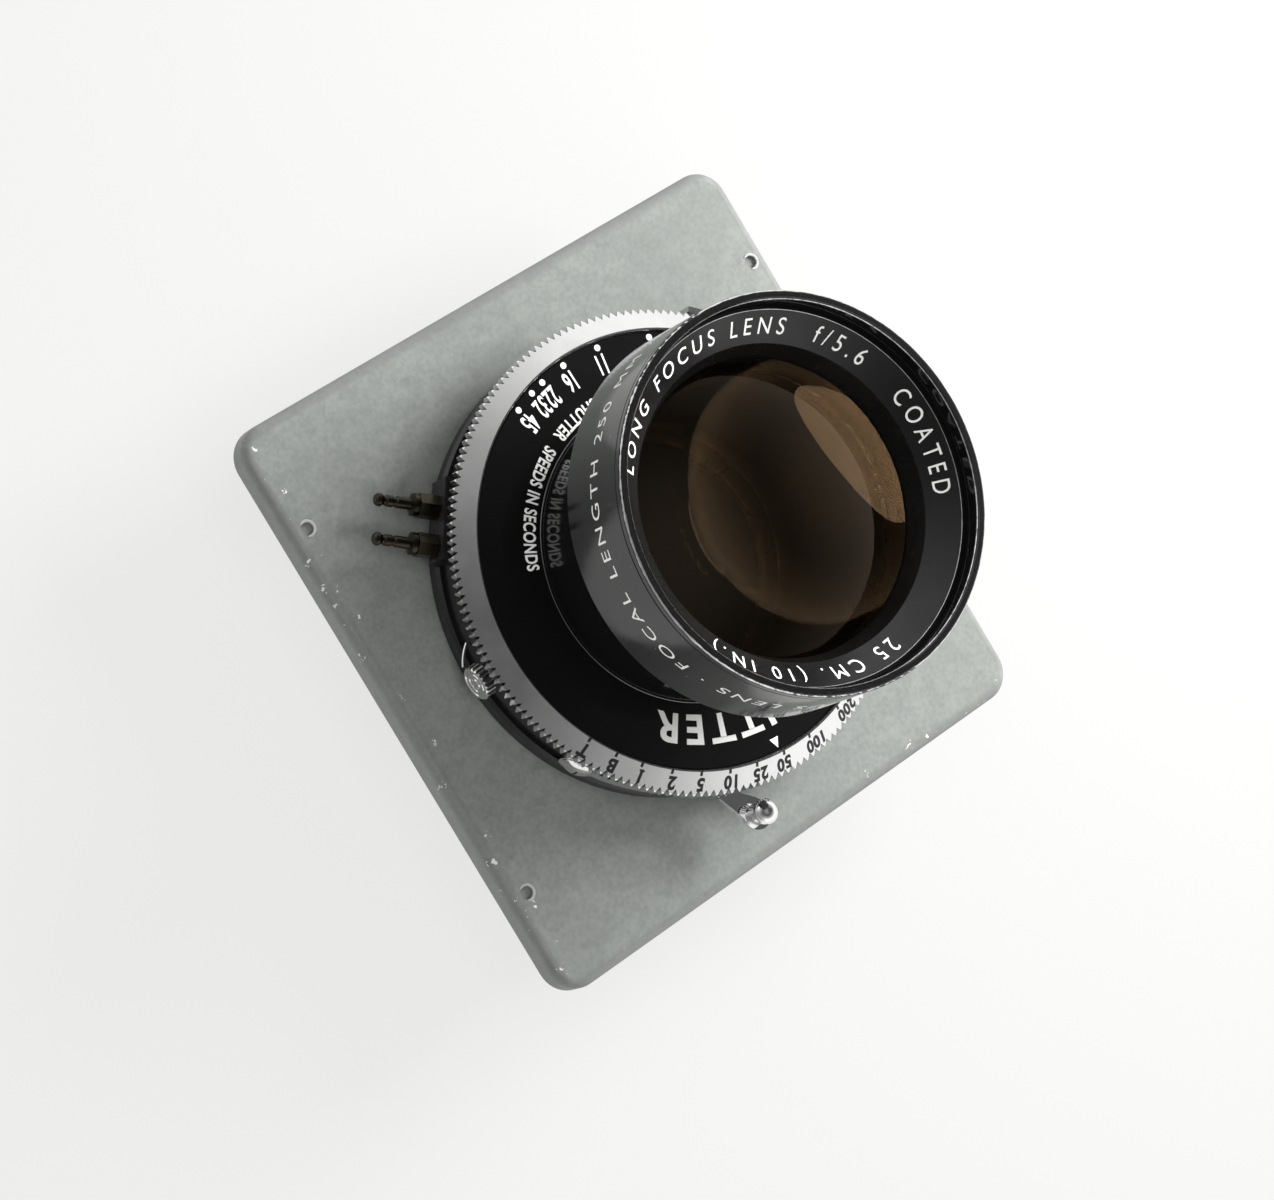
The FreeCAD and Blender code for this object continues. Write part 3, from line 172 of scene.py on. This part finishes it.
def painted_board():
    """Grey-green paint: mottled, stained, darkened along the bends as painted shade, and chipped near the +X
    and +Y edges.
    """
    finish = Finish("board_paint")
    mottle = finish.noise(0.8, 4.0, 0.7)
    patches = finish.noise(3.2, 4.0, 0.6)
    stain = finish.noise(21.0, 3.0, 0.55)
    # On the board this darkening is grime only, in patches at random.
    grime_and_shade = finish.noise(4.5, 6.0, 0.68)
    x, y, z = finish.parts()
    edge = finish.math("MAXIMUM", finish.math("ABSOLUTE", x), finish.math("ABSOLUTE", y))
    # Along the bends the paint is darkened: painted shade.
    bend_shade = finish.math("MULTIPLY", finish.ramp(edge, 46.6 * MM, 47.5 * MM),
                          finish.ramp(edge, 48.9 * MM, 48.4 * MM))
    near_x = finish.ramp(x, 42.0 * MM, 46.5 * MM)
    near_y = finish.math("MULTIPLY", finish.ramp(y, 45.2 * MM, 46.6 * MM),
                         finish.ramp(x, 20.0 * MM, 2.0 * MM))
    share = finish.math("ADD", finish.math("MULTIPLY", near_x, 0.11), finish.math("MULTIPLY", near_y, 0.09))
    share = finish.math("MULTIPLY", share, finish.ramp(z, (BOARD - 2.5) * MM, (BOARD - 0.2) * MM))
    chipping = finish.math("ADD", share, finish.noise(2.0, 5.0, 0.66))
    chips = finish.ramp(chipping, 0.742, 0.765)
    flakes = finish.specks(5.5, 0.13, 0.05)
    scuffs = finish.ramp(finish.noise(3.4, 8.0, 0.8), 0.665, 0.72)
    scuffs = finish.math("MULTIPLY", scuffs, finish.ramp(finish.noise(26.0, 1.0), 0.5, 0.62))
    base = finish.mix(finish.ramp(mottle, 0.3, 0.7), PAINT_DARK, PAINT_LIGHT)
    base = finish.mix(finish.ramp(patches, 0.38, 0.68, 0.0, 0.25), base, PAINT_PATCH)
    base = finish.mix(finish.ramp(stain, 0.42, 0.72, 0.0, 0.3), base, PAINT_STAIN)
    base = finish.mix(finish.ramp(grime_and_shade, 0.58, 0.74, 0.0, 0.4), base, PAINT_GRIME)
    base = finish.mix(finish.math("MULTIPLY", scuffs, 0.7), base, PAINT_SCUFF)
    base = finish.mix(finish.math("MULTIPLY", bend_shade, 0.45), base, PAINT_BEND_SHADE)
    base = finish.mix(finish.math("MAXIMUM", chips, flakes), base, BARE_BOARD)
    relief = finish.math("SUBTRACT", finish.math("ADD", finish.noise(0.9, 3.0, 0.6), patches),
                         finish.math("MULTIPLY", chips, 0.8))
    finish.set(Base_Color=base, Roughness=finish.ramp(mottle, 0.2, 0.8, 0.42, 0.54),
               Normal=finish.bump(relief, 0.035, 0.7), Specular_IOR_Level=0.8)
    return finish.material


def worn_edges(finish, base, edges):
    """Rub the finish through to bright metal round turned edges, each given as (reach, height, width)."""
    x, y, z = finish.parts()
    reach = finish.length(x, y)
    patch = finish.noise(1.6, 5.0, 0.7)
    worn = 0.0
    for edge_reach, height, width in edges:
        aside = finish.math("SUBTRACT", reach, edge_reach * MM)
        above = finish.math("SUBTRACT", z, height * MM)
        ragged = finish.math("MULTIPLY", finish.math("SUBTRACT", patch, 0.5), width * 1.8 * MM)
        away = finish.math("ADD", finish.length(aside, above), ragged)
        worn = finish.math("MAXIMUM", worn, finish.ramp(away, width * MM, width * 0.6 * MM))
    finish.set(Metallic=worn)
    return finish.mix(worn, base, grey(0.78)), worn


def enamel(name, tone, roughness, dust=0.25, streaks=0.0, edges=()):
    """Enamel of one grey tone, with faint streaks round the axis, dust and rubbed edges."""
    finish = Finish(name)
    streak = finish.noise(0.16, 3.0, 0.6, finish.round_place(1.0, 0.004))
    cloud = finish.noise(6.0, 4.0, 0.6)
    rough = finish.math("ADD", finish.ramp(cloud, 0.3, 0.7, roughness * 0.8, roughness * 1.25),
                        finish.math("MULTIPLY", finish.ramp(streak, 0.5, 0.75), 0.1 * streaks))
    speck = finish.math("MAXIMUM", finish.specks(2.6, 0.06, dust), finish.specks(6.1, 0.1, dust))
    base = finish.mix(speck, grey(tone), grey(0.5))
    base = finish.mix(finish.math("MULTIPLY", finish.ramp(streak, 0.6, 0.8), 0.07 * streaks), base, grey(0.3))
    if edges:
        base, worn = worn_edges(finish, base, edges)
        rough = finish.math("ADD", rough, finish.math("MULTIPLY", worn, 0.12))
    relief = finish.math("ADD", finish.noise(1.3, 2.0), finish.math("MULTIPLY", streak, 0.4))
    finish.set(Base_Color=base, Roughness=rough, Normal=finish.bump(relief, 0.003, 0.3), IOR=1.5)
    return finish.material


TARNISH = (0.05, 0.045, 0.04, 1)
BLACK_BRASS_TARNISH = (0.02, 0.018, 0.015, 1)
# The colour that the painted shade in narrow recesses darkens towards.
RECESS_SHADE = (0.012, 0.011, 0.01, 1)


def metal(name, colour, roughness, grain=0.4, turned=False, tarnish=0.0, dark=TARNISH, grime_and_shade=0.0):
    """Bare or plated metal with a fine grain, turned or plain, and tarnish, and painted shade in narrow
    recesses.
    """
    finish = Finish(name)
    place = finish.round_place(1.0, 0.0012) if turned else finish.place
    fine = finish.noise(0.09 if turned else 0.35, 3.0, 0.6, place)
    cloud = finish.noise(5.0, 5.0, 0.62)
    spots = finish.ramp(finish.noise(0.7, 4.0, 0.7), 0.68, 0.78, 0.0, tarnish * 2.0)
    base = finish.mix(finish.ramp(cloud, 0.45, 0.75, 0.0, tarnish), colour, dark)
    base = finish.mix(finish.math("MINIMUM", spots, 0.8), base, dark)
    # Ambient occlusion darkens narrow recesses here: painted shade.
    if grime_and_shade:
        recess = finish.node("ShaderNodeAmbientOcclusion", {"samples": 8, "only_local": True},
                             {"Distance": 0.7 * MM})
        base = finish.mix(finish.ramp(recess.outputs["AO"], 0.86, 0.5, 0.0, grime_and_shade), base, RECESS_SHADE)
    rough = finish.math("ADD", finish.ramp(cloud, 0.3, 0.75, roughness * 0.8, roughness * 1.3),
                        finish.math("MULTIPLY", fine, 0.08 * grain))
    finish.set(Base_Color=base, Roughness=rough, Metallic=1.0,
               Normal=finish.bump(fine, 0.004 if turned else 0.01, 0.3 * grain))
    return finish.material


def resin(name, tone, roughness):
    """Moulded black resin, a little cloudy."""
    finish = Finish(name)
    fine = finish.noise(0.5, 3.0)
    base = finish.mix(finish.ramp(finish.noise(2.5, 4.0), 0.4, 0.7, 0.0, 0.5), grey(tone), grey(tone * 2.2))
    finish.set(Base_Color=base, Roughness=finish.ramp(fine, 0.3, 0.7, roughness * 0.8, roughness * 1.3),
               Normal=finish.bump(fine, 0.01, 0.4))
    return finish.material


def ink(name, colour, wear=0.25):
    """Paint filled into lettering, thin in places."""
    finish = Finish(name)
    patch = finish.ramp(finish.noise(0.45, 4.0, 0.7), 0.58, 0.74, 0.0, wear)
    worn = tuple(channel * 0.35 + 0.02 for channel in colour[:3]) + (1.0,)
    finish.set(Base_Color=finish.mix(patch, colour, worn), Roughness=finish.ramp(patch, 0.0, 1.0, 0.42, 0.6))
    return finish.material


GLASS_DUST = (0.9, 0.88, 0.84, 1)


def coated_glass(name, body_tint, coat_tint, strength):
    """Tinted glass whose coating reflects `coat_tint`, a little smeared and dusty."""
    finish = Finish(name)
    smear = finish.noise(9.0, 3.0)
    dust = finish.specks(4.2, 0.06, 0.35)
    rough = finish.math("ADD", finish.ramp(smear, 0.4, 0.8, 0.0, 0.03), finish.math("MULTIPLY", dust, 0.6))
    finish.set(Base_Color=finish.mix(dust, body_tint, GLASS_DUST), Roughness=rough, IOR=1.52,
               Transmission_Weight=1.0, Specular_IOR_Level=strength, Specular_Tint=coat_tint)
    return finish.material


# The rubbed edges of the enamels are given as (reach, height, width).
LOOKS = {
    "board": painted_board(),
    "case": enamel("case_enamel", 0.007, 0.2, 0.12, 0.3,
                   ((36.2, BOARD + 3.0, 0.2), (36.2, BOARD + 0.3, 0.12))),
    "face": enamel("face_enamel", 0.004, 0.16, 0.12, 0.2, ((33.95, FACE_TOP, 0.09),)),
    "barrel": enamel("barrel_enamel", 0.006, 0.1, 0.35, 1.0,
                     ((29.72, RIM - 0.1, 0.2), (28.4, RIM - 0.25, 0.1), (29.8, RIM - 1.45, 0.08),
                      (29.7, BOARD + 35.75, 0.07))),
    "matte_black": enamel("matte_black", 0.012, 0.42, 0.2),
    "name_ring": enamel("name_ring_enamel", 0.004, 0.24, 0.25, 0.3, ((27.72, BOARD + 49.35, 0.07),)),
    # The chrome finishes take painted shade in their narrow recesses.
    "scale_chrome": metal("scale_chrome", grey(0.86), 0.2, 0.4, turned=True, tarnish=0.015, grime_and_shade=0.9),
    "chrome": metal("bright_chrome", grey(0.9), 0.05, 0.04, tarnish=0.02, grime_and_shade=1.0),
    "steel": metal("steel", grey(0.6, 0.01), 0.26, 0.8, tarnish=0.3),
    "dark_steel": metal("dark_steel", grey(0.3), 0.24, 0.6, tarnish=0.4),
    "black_steel": metal("black_steel", grey(0.045), 0.38, 0.5, tarnish=0.3),
    "brass": metal("brass", (0.68, 0.48, 0.2, 1), 0.28, 0.6, turned=True, tarnish=0.35),
    "black_brass": metal("black_brass", (0.05, 0.043, 0.03, 1), 0.24, 0.7, tarnish=0.5,
                         dark=BLACK_BRASS_TARNISH),
    "resin": resin("black_resin", 0.012, 0.3),
    "white_ink": ink("white_ink", (0.86, 0.86, 0.84, 1)),
    "grey_ink": ink("grey_ink", (0.62, 0.62, 0.6, 1), 0.5),
    "black_ink": ink("black_ink", (0.006, 0.006, 0.006, 1), 0.1),
    "front_glass": coated_glass("front_glass", (0.5, 0.42, 0.32, 1), (1.0, 0.8, 0.58, 1), 1.0),
    "inner_glass": coated_glass("inner_glass", (0.6, 0.54, 0.46, 1), (1.0, 0.7, 0.45, 1), 0.1),
    # Pale paint on the raised dimple rims is a painted highlight.
    "dimple_rim_highlight": enamel("dimple_rim_highlight", 0.32, 0.4, 0.0),
}

NODE_LOOKS = {
    "board": ["lens_board"],
    "case": ["shutter_case", "light_trap_frame"],
    "face": ["face_plate"],
    "barrel": ["front_barrel"],
    "matte_black": ["rear_barrel", "rear_retaining_ring", "front_tube"],
    "name_ring": ["front_name_ring"],
    "scale_chrome": ["speed_ring", "speed_cam_plate"],
    "chrome": ["cocking_knob", "press_focus_button", "cocking_lever", "release_lever",
               "release_lever_screw", "cable_release_socket", "press_focus_spring"],
    "steel": ["shutter_retaining_ring", "speed_click_spring", "main_spring", "release_catch",
              "mechanism_screws", "pallet", "aperture_lever"],
    "brass": ["iris_cam_ring", "blade_ring", "setting_ring", "star_wheel", "gear_plate",
              "mechanism_plate", "iris_base_ring", "gear_bridge", "contact_arm"],
    "black_brass": ["contact_nuts", "contact_pin_upper", "contact_pin_lower"],
    "resin": ["contact_block"],
    "front_glass": ["front_convex_element"],
    "inner_glass": ["front_concave_element", "rear_concave_element", "rear_convex_element"],
}


def put_look(mesh, look):
    mesh.materials.clear()
    mesh.materials.append(LOOKS[look])


for look, names in NODE_LOOKS.items():
    for name in names:
        put_look(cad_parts[name].data, look)
for name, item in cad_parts.items():
    if name.startswith(("iris_blade", "shutter_blade")):
        put_look(item.data, "black_steel")


# ---------------------------------------------------------------- pieces

def keep_piece(mesh, name, look, body):
    """Make an object of a mesh given in millimetres, in the row's frame."""
    mesh.transform(Matrix.Scale(MM, 4))
    put_look(mesh, look)
    item = bpy.data.objects.new(name, mesh)
    bpy.context.scene.collection.objects.link(item)
    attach(item, body)
    return item


def text_mesh(words, height, stretch=1.0, weight=0.0, spacing=1.0):
    """Lettering `height` millimetres tall, centred on X, with its baseline at Y = 0.

    `stretch` widens the letters, `weight` thickens their strokes and `spacing` sets them apart.
    """
    curve = bpy.data.curves.new("lettering", "FONT")
    curve.body = words
    curve.size = height / CAPITAL_SHARE
    curve.offset = weight
    curve.space_character = spacing
    curve.extrude = INK_DEPTH / 2
    curve.resolution_u = 8
    curve.align_x = "CENTER"
    item = bpy.data.objects.new("lettering", curve)
    bpy.context.scene.collection.objects.link(item)
    graph = bpy.context.evaluated_depsgraph_get()
    mesh = bpy.data.meshes.new_from_object(item.evaluated_get(graph))
    bpy.data.objects.remove(item)
    bpy.data.curves.remove(curve)
    work = bmesh.new()
    work.from_mesh(mesh)
    bmesh.ops.remove_doubles(work, verts=work.verts, dist=1e-5)
    for vert in work.verts:
        vert.co.x *= stretch
    work.to_mesh(mesh)
    work.free()
    return mesh


def around_face(mesh, angle, radius, surface, tops_out):
    """Bend lettering round the axis, on a surface whose height depends on its distance from the axis."""
    for vert in mesh.vertices:
        x, y, lift = vert.co
        reach = radius + y if tops_out else radius - y
        turn = math.radians(angle) + (-x if tops_out else x) / radius
        vert.co = (reach * math.cos(turn), reach * math.sin(turn), surface(reach) + INK_LIFT + lift)
    return mesh


def around_band(mesh, angle, radius, height):
    """Bend lettering round a cylinder, with its tops towards the rear."""
    for vert in mesh.vertices:
        x, y, lift = vert.co
        turn = math.radians(angle) - x / radius
        reach = radius + INK_LIFT + lift
        vert.co = (reach * math.cos(turn), reach * math.sin(turn), height - y)
    return mesh


def join_meshes(meshes):
    work = bmesh.new()
    for mesh in meshes:
        work.from_mesh(mesh)
    whole = bpy.data.meshes.new("joined")
    work.to_mesh(whole)
    work.free()
    return whole


def bar(width, low, high):
    """A flat bar from Y = low to high, as lettering."""
    work = bmesh.new()
    bmesh.ops.create_cube(work, size=1.0)
    for vert in work.verts:
        vert.co = (vert.co.x * width, low + (vert.co.y + 0.5) * (high - low), vert.co.z * INK_DEPTH)
    mesh = bpy.data.meshes.new("bar")
    work.to_mesh(mesh)
    work.free()
    return mesh


def dot(radius):
    """A round mark, centred on the baseline."""
    work = bmesh.new()
    bmesh.ops.create_cone(work, cap_ends=True, segments=24, radius1=radius, radius2=radius, depth=INK_DEPTH)
    mesh = bpy.data.meshes.new("dot")
    work.to_mesh(mesh)
    work.free()
    return mesh


def flat_face(_reach):
    """The height of the face plate."""
    return FACE_TOP


def speed_cone(reach):
    """The height of the speed ring's slope, which falls outwards."""
    return BOARD + 14.2 - (reach - 34.4) * (14.2 - 12.4) / (37.55 - 34.4)


def name_cone(reach):
    """The height of the name ring's slope, which rises outwards."""
    return BOARD + 45.85 + (reach - 23.6) * (49.35 - 45.85) / (27.75 - 23.6)


# Each speed has its words, the angle of the words and the angle of the tick.
SPEEDS = (("T", 28.5, 28.2), ("B", 36.5, 36.2), ("1", 44.1, 43.5), ("2", 52.5, 51.9), ("5", 60.2, 60.0),
          ("10", 68.8, 68.2), ("25", 77.0, 76.1), ("50", 84.2, 84.6), ("100", 95.0, 93.4),
          ("200", 107.2, 104.9))
ONE_SECOND_ANGLE = SPEEDS[2][1]
numerals = []
ticks = []
for words, angle, tick in SPEEDS:
    numeral = text_mesh(words, height=1.8, weight=0.11, spacing=1.1)
    numerals.append(around_face(numeral, angle, 35.35, speed_cone, tops_out=True))
    ticks.append(around_face(bar(width=0.42, low=0.0, high=0.72), tick, 34.25, speed_cone, tops_out=True))
one_foot = bar(width=0.85, low=0.0, high=0.26)
numerals.append(around_face(one_foot, ONE_SECOND_ANGLE, 35.3, speed_cone, tops_out=True))
keep_piece(join_meshes(numerals), "speed_numerals", "black_ink", "speed_ring")
keep_piece(join_meshes(ticks), "speed_ticks", "black_ink", "speed_ring")

# Each stop has its words and the angle of its dot. The words stand STOP_SHIFT further on.
STOPS = (("45", -68.4), ("32", -74.7), ("22", -79.1), ("16", -87.2), ("11", -98.8), ("8", -114.9),
         ("5.6", -131.1))
STOP_SHIFT = 0.6
stop_marks = []
for words, angle in STOPS:
    stop_marks.append(around_face(dot(0.5), angle, 33.0, flat_face, tops_out=False))
    stop = text_mesh(words, height=3.2, stretch=0.52, weight=0.08, spacing=1.04)
    stop_marks.append(around_face(stop, angle + STOP_SHIFT, 31.9, flat_face, tops_out=False))
keep_piece(join_meshes(stop_marks), "aperture_scale", "white_ink", "case")

face_words = text_mesh("BETWEEN THE LENS SHUTTER   SPEEDS IN SECONDS", height=2.0, stretch=0.76,
                       weight=0.07, spacing=1.06)
face_text = around_face(face_words, -78, 26.5, flat_face, tops_out=False)
keep_piece(face_text, "face_lettering", "white_ink", "case")
title_word = text_mesh("SHUTTER", height=4.5, stretch=0.92, weight=0.17, spacing=1.36)
title = around_face(title_word, 80.0, 25.8, flat_face, tops_out=True)
keep_piece(title, "face_title", "grey_ink", "case")

# The triangle that the speeds are read against.
POINTER_HALF, POINTER_LENGTH = 0.8, 1.6
pointer = bpy.data.meshes.new("pointer")
pointer.from_pydata(
    [(x, y, z) for z in (0, INK_DEPTH)
     for x, y in ((-POINTER_HALF, 0), (POINTER_HALF, 0), (0, POINTER_LENGTH))], [],
    [(0, 2, 1), (3, 4, 5), (0, 1, 4, 3), (1, 2, 5, 4), (2, 0, 3, 5)])
pointer = around_face(pointer, 84.0, 31.95, flat_face, tops_out=True)
keep_piece(pointer, "speed_pointer", "white_ink", "case")

band_words = text_mesh("COATED LONG FOCUS LENS · FOCAL LENGTH 250 MM · MAXIMUM APERTURE f/5.6",
                       height=2.4, stretch=1.15, weight=-0.012, spacing=1.3)
band_text = around_band(band_words, -20, 29.8, BOARD + 45.6)
keep_piece(band_text, "band_lettering", "white_ink", "case")

RING_WORDS = (("25 CM. (10 IN.)", 61.2), ("f/5.6", -144.4), ("LONG FOCUS LENS", -80.0), ("COATED", 172.0))
ring_text = [around_face(text_mesh(words, height=2.15, spacing=1.55), angle, 24.75, name_cone, tops_out=True)
             for words, angle in RING_WORDS]
keep_piece(join_meshes(ring_text), "name_ring_lettering", "white_ink", "case")


WIRE_SIDES = 12


def swept_ring(reach, height, tube, start=0.0, sweep=360.0, centre=(0.0, 0.0), steps=160, flat=1.0):
    """A wire of radius `tube` bent round an upright axis, with rounded ends when it isn't a full turn."""
    sides = [math.radians(360.0 / WIRE_SIDES * side) for side in range(WIRE_SIDES)]
    work = bmesh.new()
    full = sweep >= 360.0
    rings = []
    count = steps if full else steps + 1
    for step in range(count):
        part = step / steps
        turn = math.radians(start + sweep * part)
        swell = 1.0 if full else min(1.0, math.sqrt(max(0.02, 1 - (2 * part - 1) ** 6)))
        rings.append([work.verts.new((
            centre[0] + (reach + tube * swell * math.cos(side)) * math.cos(turn),
            centre[1] + (reach + tube * swell * math.cos(side)) * math.sin(turn),
            height + tube * swell * flat * math.sin(side))) for side in sides])
    for step in range(len(rings) if full else len(rings) - 1):
        near, far = rings[step], rings[(step + 1) % len(rings)]
        for corner in range(WIRE_SIDES):
            beside = (corner + 1) % WIRE_SIDES
            work.faces.new((near[corner], far[corner], far[beside], near[beside]))
    if not full:
        work.faces.new(rings[0])
        work.faces.new(list(reversed(rings[-1])))
    for face in work.faces:
        face.smooth = True
    mesh = bpy.data.meshes.new("swept_ring")
    work.to_mesh(mesh)
    work.free()
    return mesh


DIMPLE_X, DIMPLE_Y = 45.6, 31.7
dimple_rims = []
for across in (DIMPLE_X, -DIMPLE_X):
    for up in (DIMPLE_Y, -DIMPLE_Y):
        dimple_rims.append(swept_ring(reach=1.2, height=BOARD - 0.02, tube=0.26, start=60.0, sweep=250.0,
                                      centre=(across, up), steps=40, flat=0.9))
# The dimple rims are painted pale as a painted highlight.
keep_piece(join_meshes(dimple_rims), "dimple_rims", "dimple_rim_highlight", "case")
neck_bead = swept_ring(reach=23.75, height=BOARD + 13.76, tube=0.13)
keep_piece(neck_bead, "neck_bead", "dark_steel", "case")


# ---------------------------------------------------------------- studio

FLOOR_COLOUR = (0.08, 0.08, 0.079, 1)
FLOOR_GLOW_COLOUR = (1.0, 1.0, 0.985, 1)
FLOOR_HALF = 3.0            # metres
FLOOR_GAP = 0.0001          # metres


def glowing_floor():
    """A floor lit mostly by its own glow, as a light table is, so that shadows on it stay faint."""
    finish = Finish("pale_floor")
    cloud = finish.noise(400.0, 2.0)
    shaded = tuple(channel * 0.985 for channel in FLOOR_COLOUR[:3]) + (1,)
    finish.set(Base_Color=finish.mix(finish.ramp(cloud, 0.3, 0.7), FLOOR_COLOUR, shaded), Roughness=0.7,
               Emission_Color=FLOOR_GLOW_COLOUR, Emission_Strength=0.74)
    return finish.material


floor_mesh = bpy.data.meshes.new("floor")
floor_mesh.from_pydata([(-FLOOR_HALF, -FLOOR_HALF, 0), (FLOOR_HALF, -FLOOR_HALF, 0),
                        (FLOOR_HALF, FLOOR_HALF, 0), (-FLOOR_HALF, FLOOR_HALF, 0)], [], [(0, 1, 2, 3)])
floor_mesh.materials.append(glowing_floor())
floor = bpy.data.objects.new("floor", floor_mesh)
bpy.context.scene.collection.objects.link(floor)
floor.location.z = cad_bounds[0][2] - FLOOR_GAP

LIGHT_TARGET = (0, 0, 0.04)  # metres


def add_light(name, shape, azimuth, elevation, distance, size, power):
    """A soft panel that faces the object, and that the camera doesn't see. Its lengths are metres."""
    light = bpy.data.lights.new(name, "AREA")
    light.shape = shape
    light.size, light.size_y = size
    light.energy = power
    item = bpy.data.objects.new(name, light)
    turn, rise = math.radians(azimuth), math.radians(elevation)
    away = Vector((math.cos(turn) * math.cos(rise), math.sin(turn) * math.cos(rise), math.sin(rise)))
    item.location = Vector(LIGHT_TARGET) + away * distance
    item.rotation_euler = away.to_track_quat("Z", "Y").to_euler()
    bpy.context.scene.collection.objects.link(item)
    item.visible_camera = False
    item.visible_glossy = False
    return item


soft_key = add_light("soft_key", "RECTANGLE", azimuth=184, elevation=38, distance=0.32, size=(0.2, 0.2),
                     power=3.2)
soft_key.visible_transmission = False
# The glass shows the overhead panel from inside, since only glossy rays miss it.
add_light("overhead", "ELLIPSE", azimuth=12, elevation=70, distance=1.0, size=(1.35, 0.56), power=6.4)

# The room: bright up to about 25 degrees above the horizon, darker above that with a faint rise overhead,
# and darker towards +X. Each shade is (sine of the elevation, brightness).
ROOM_SHADES = ((0.0, 1.0), (0.42, 1.0), (0.55, 0.62), (0.66, 0.36), (0.76, 0.2), (0.86, 0.08),
               (0.93, 0.12), (1.0, 0.25))
world = bpy.data.worlds.new("studio")
world.use_nodes = True
sky = world.node_tree
direction = add_node(sky, "ShaderNodeTexCoord")
split = add_node(sky, "ShaderNodeSeparateXYZ", inputs={"Vector": direction.outputs["Generated"]})
by_height = add_node(sky, "ShaderNodeValToRGB", inputs={"Fac": split.outputs["Z"]})
while len(by_height.color_ramp.elements) < len(ROOM_SHADES):
    by_height.color_ramp.elements.new(0.5)
for element, (place, shade) in zip(by_height.color_ramp.elements, ROOM_SHADES):
    element.position = place
    element.color = (shade, shade, shade, 1)
by_side = add_node(sky, "ShaderNodeMapRange", {"interpolation_type": "SMOOTHSTEP"}, {
    "Value": split.outputs["X"], "From Min": 0.35, "From Max": 0.95, "To Min": 1.1, "To Max": 0.3})
room = add_node(sky, "ShaderNodeMath", {"operation": "MULTIPLY"}, {
    0: by_height.outputs["Color"], 1: by_side.outputs["Result"]})
background = sky.nodes["Background"]
feed(sky, background.inputs["Strength"], room.outputs[0])
feed(sky, background.inputs["Color"], (1.0, 1.0, 0.99, 1))
bpy.context.scene.world = world

bpy.context.scene.view_settings.view_transform = "Standard"

# The camera that the photograph fits. Its place is in metres.
camera_data = bpy.data.cameras.new("camera")
camera_data.lens = 105.0
camera_data.sensor_width = 36.0
camera_data.clip_start = 0.05
camera = bpy.data.objects.new("camera", camera_data)
camera.location = (0.27932, -0.03567, 0.53061)
camera.rotation_euler = [math.radians(angle) for angle in (12.560, -26.378, 145.190)]
bpy.context.scene.collection.objects.link(camera)
bpy.context.scene.camera = camera
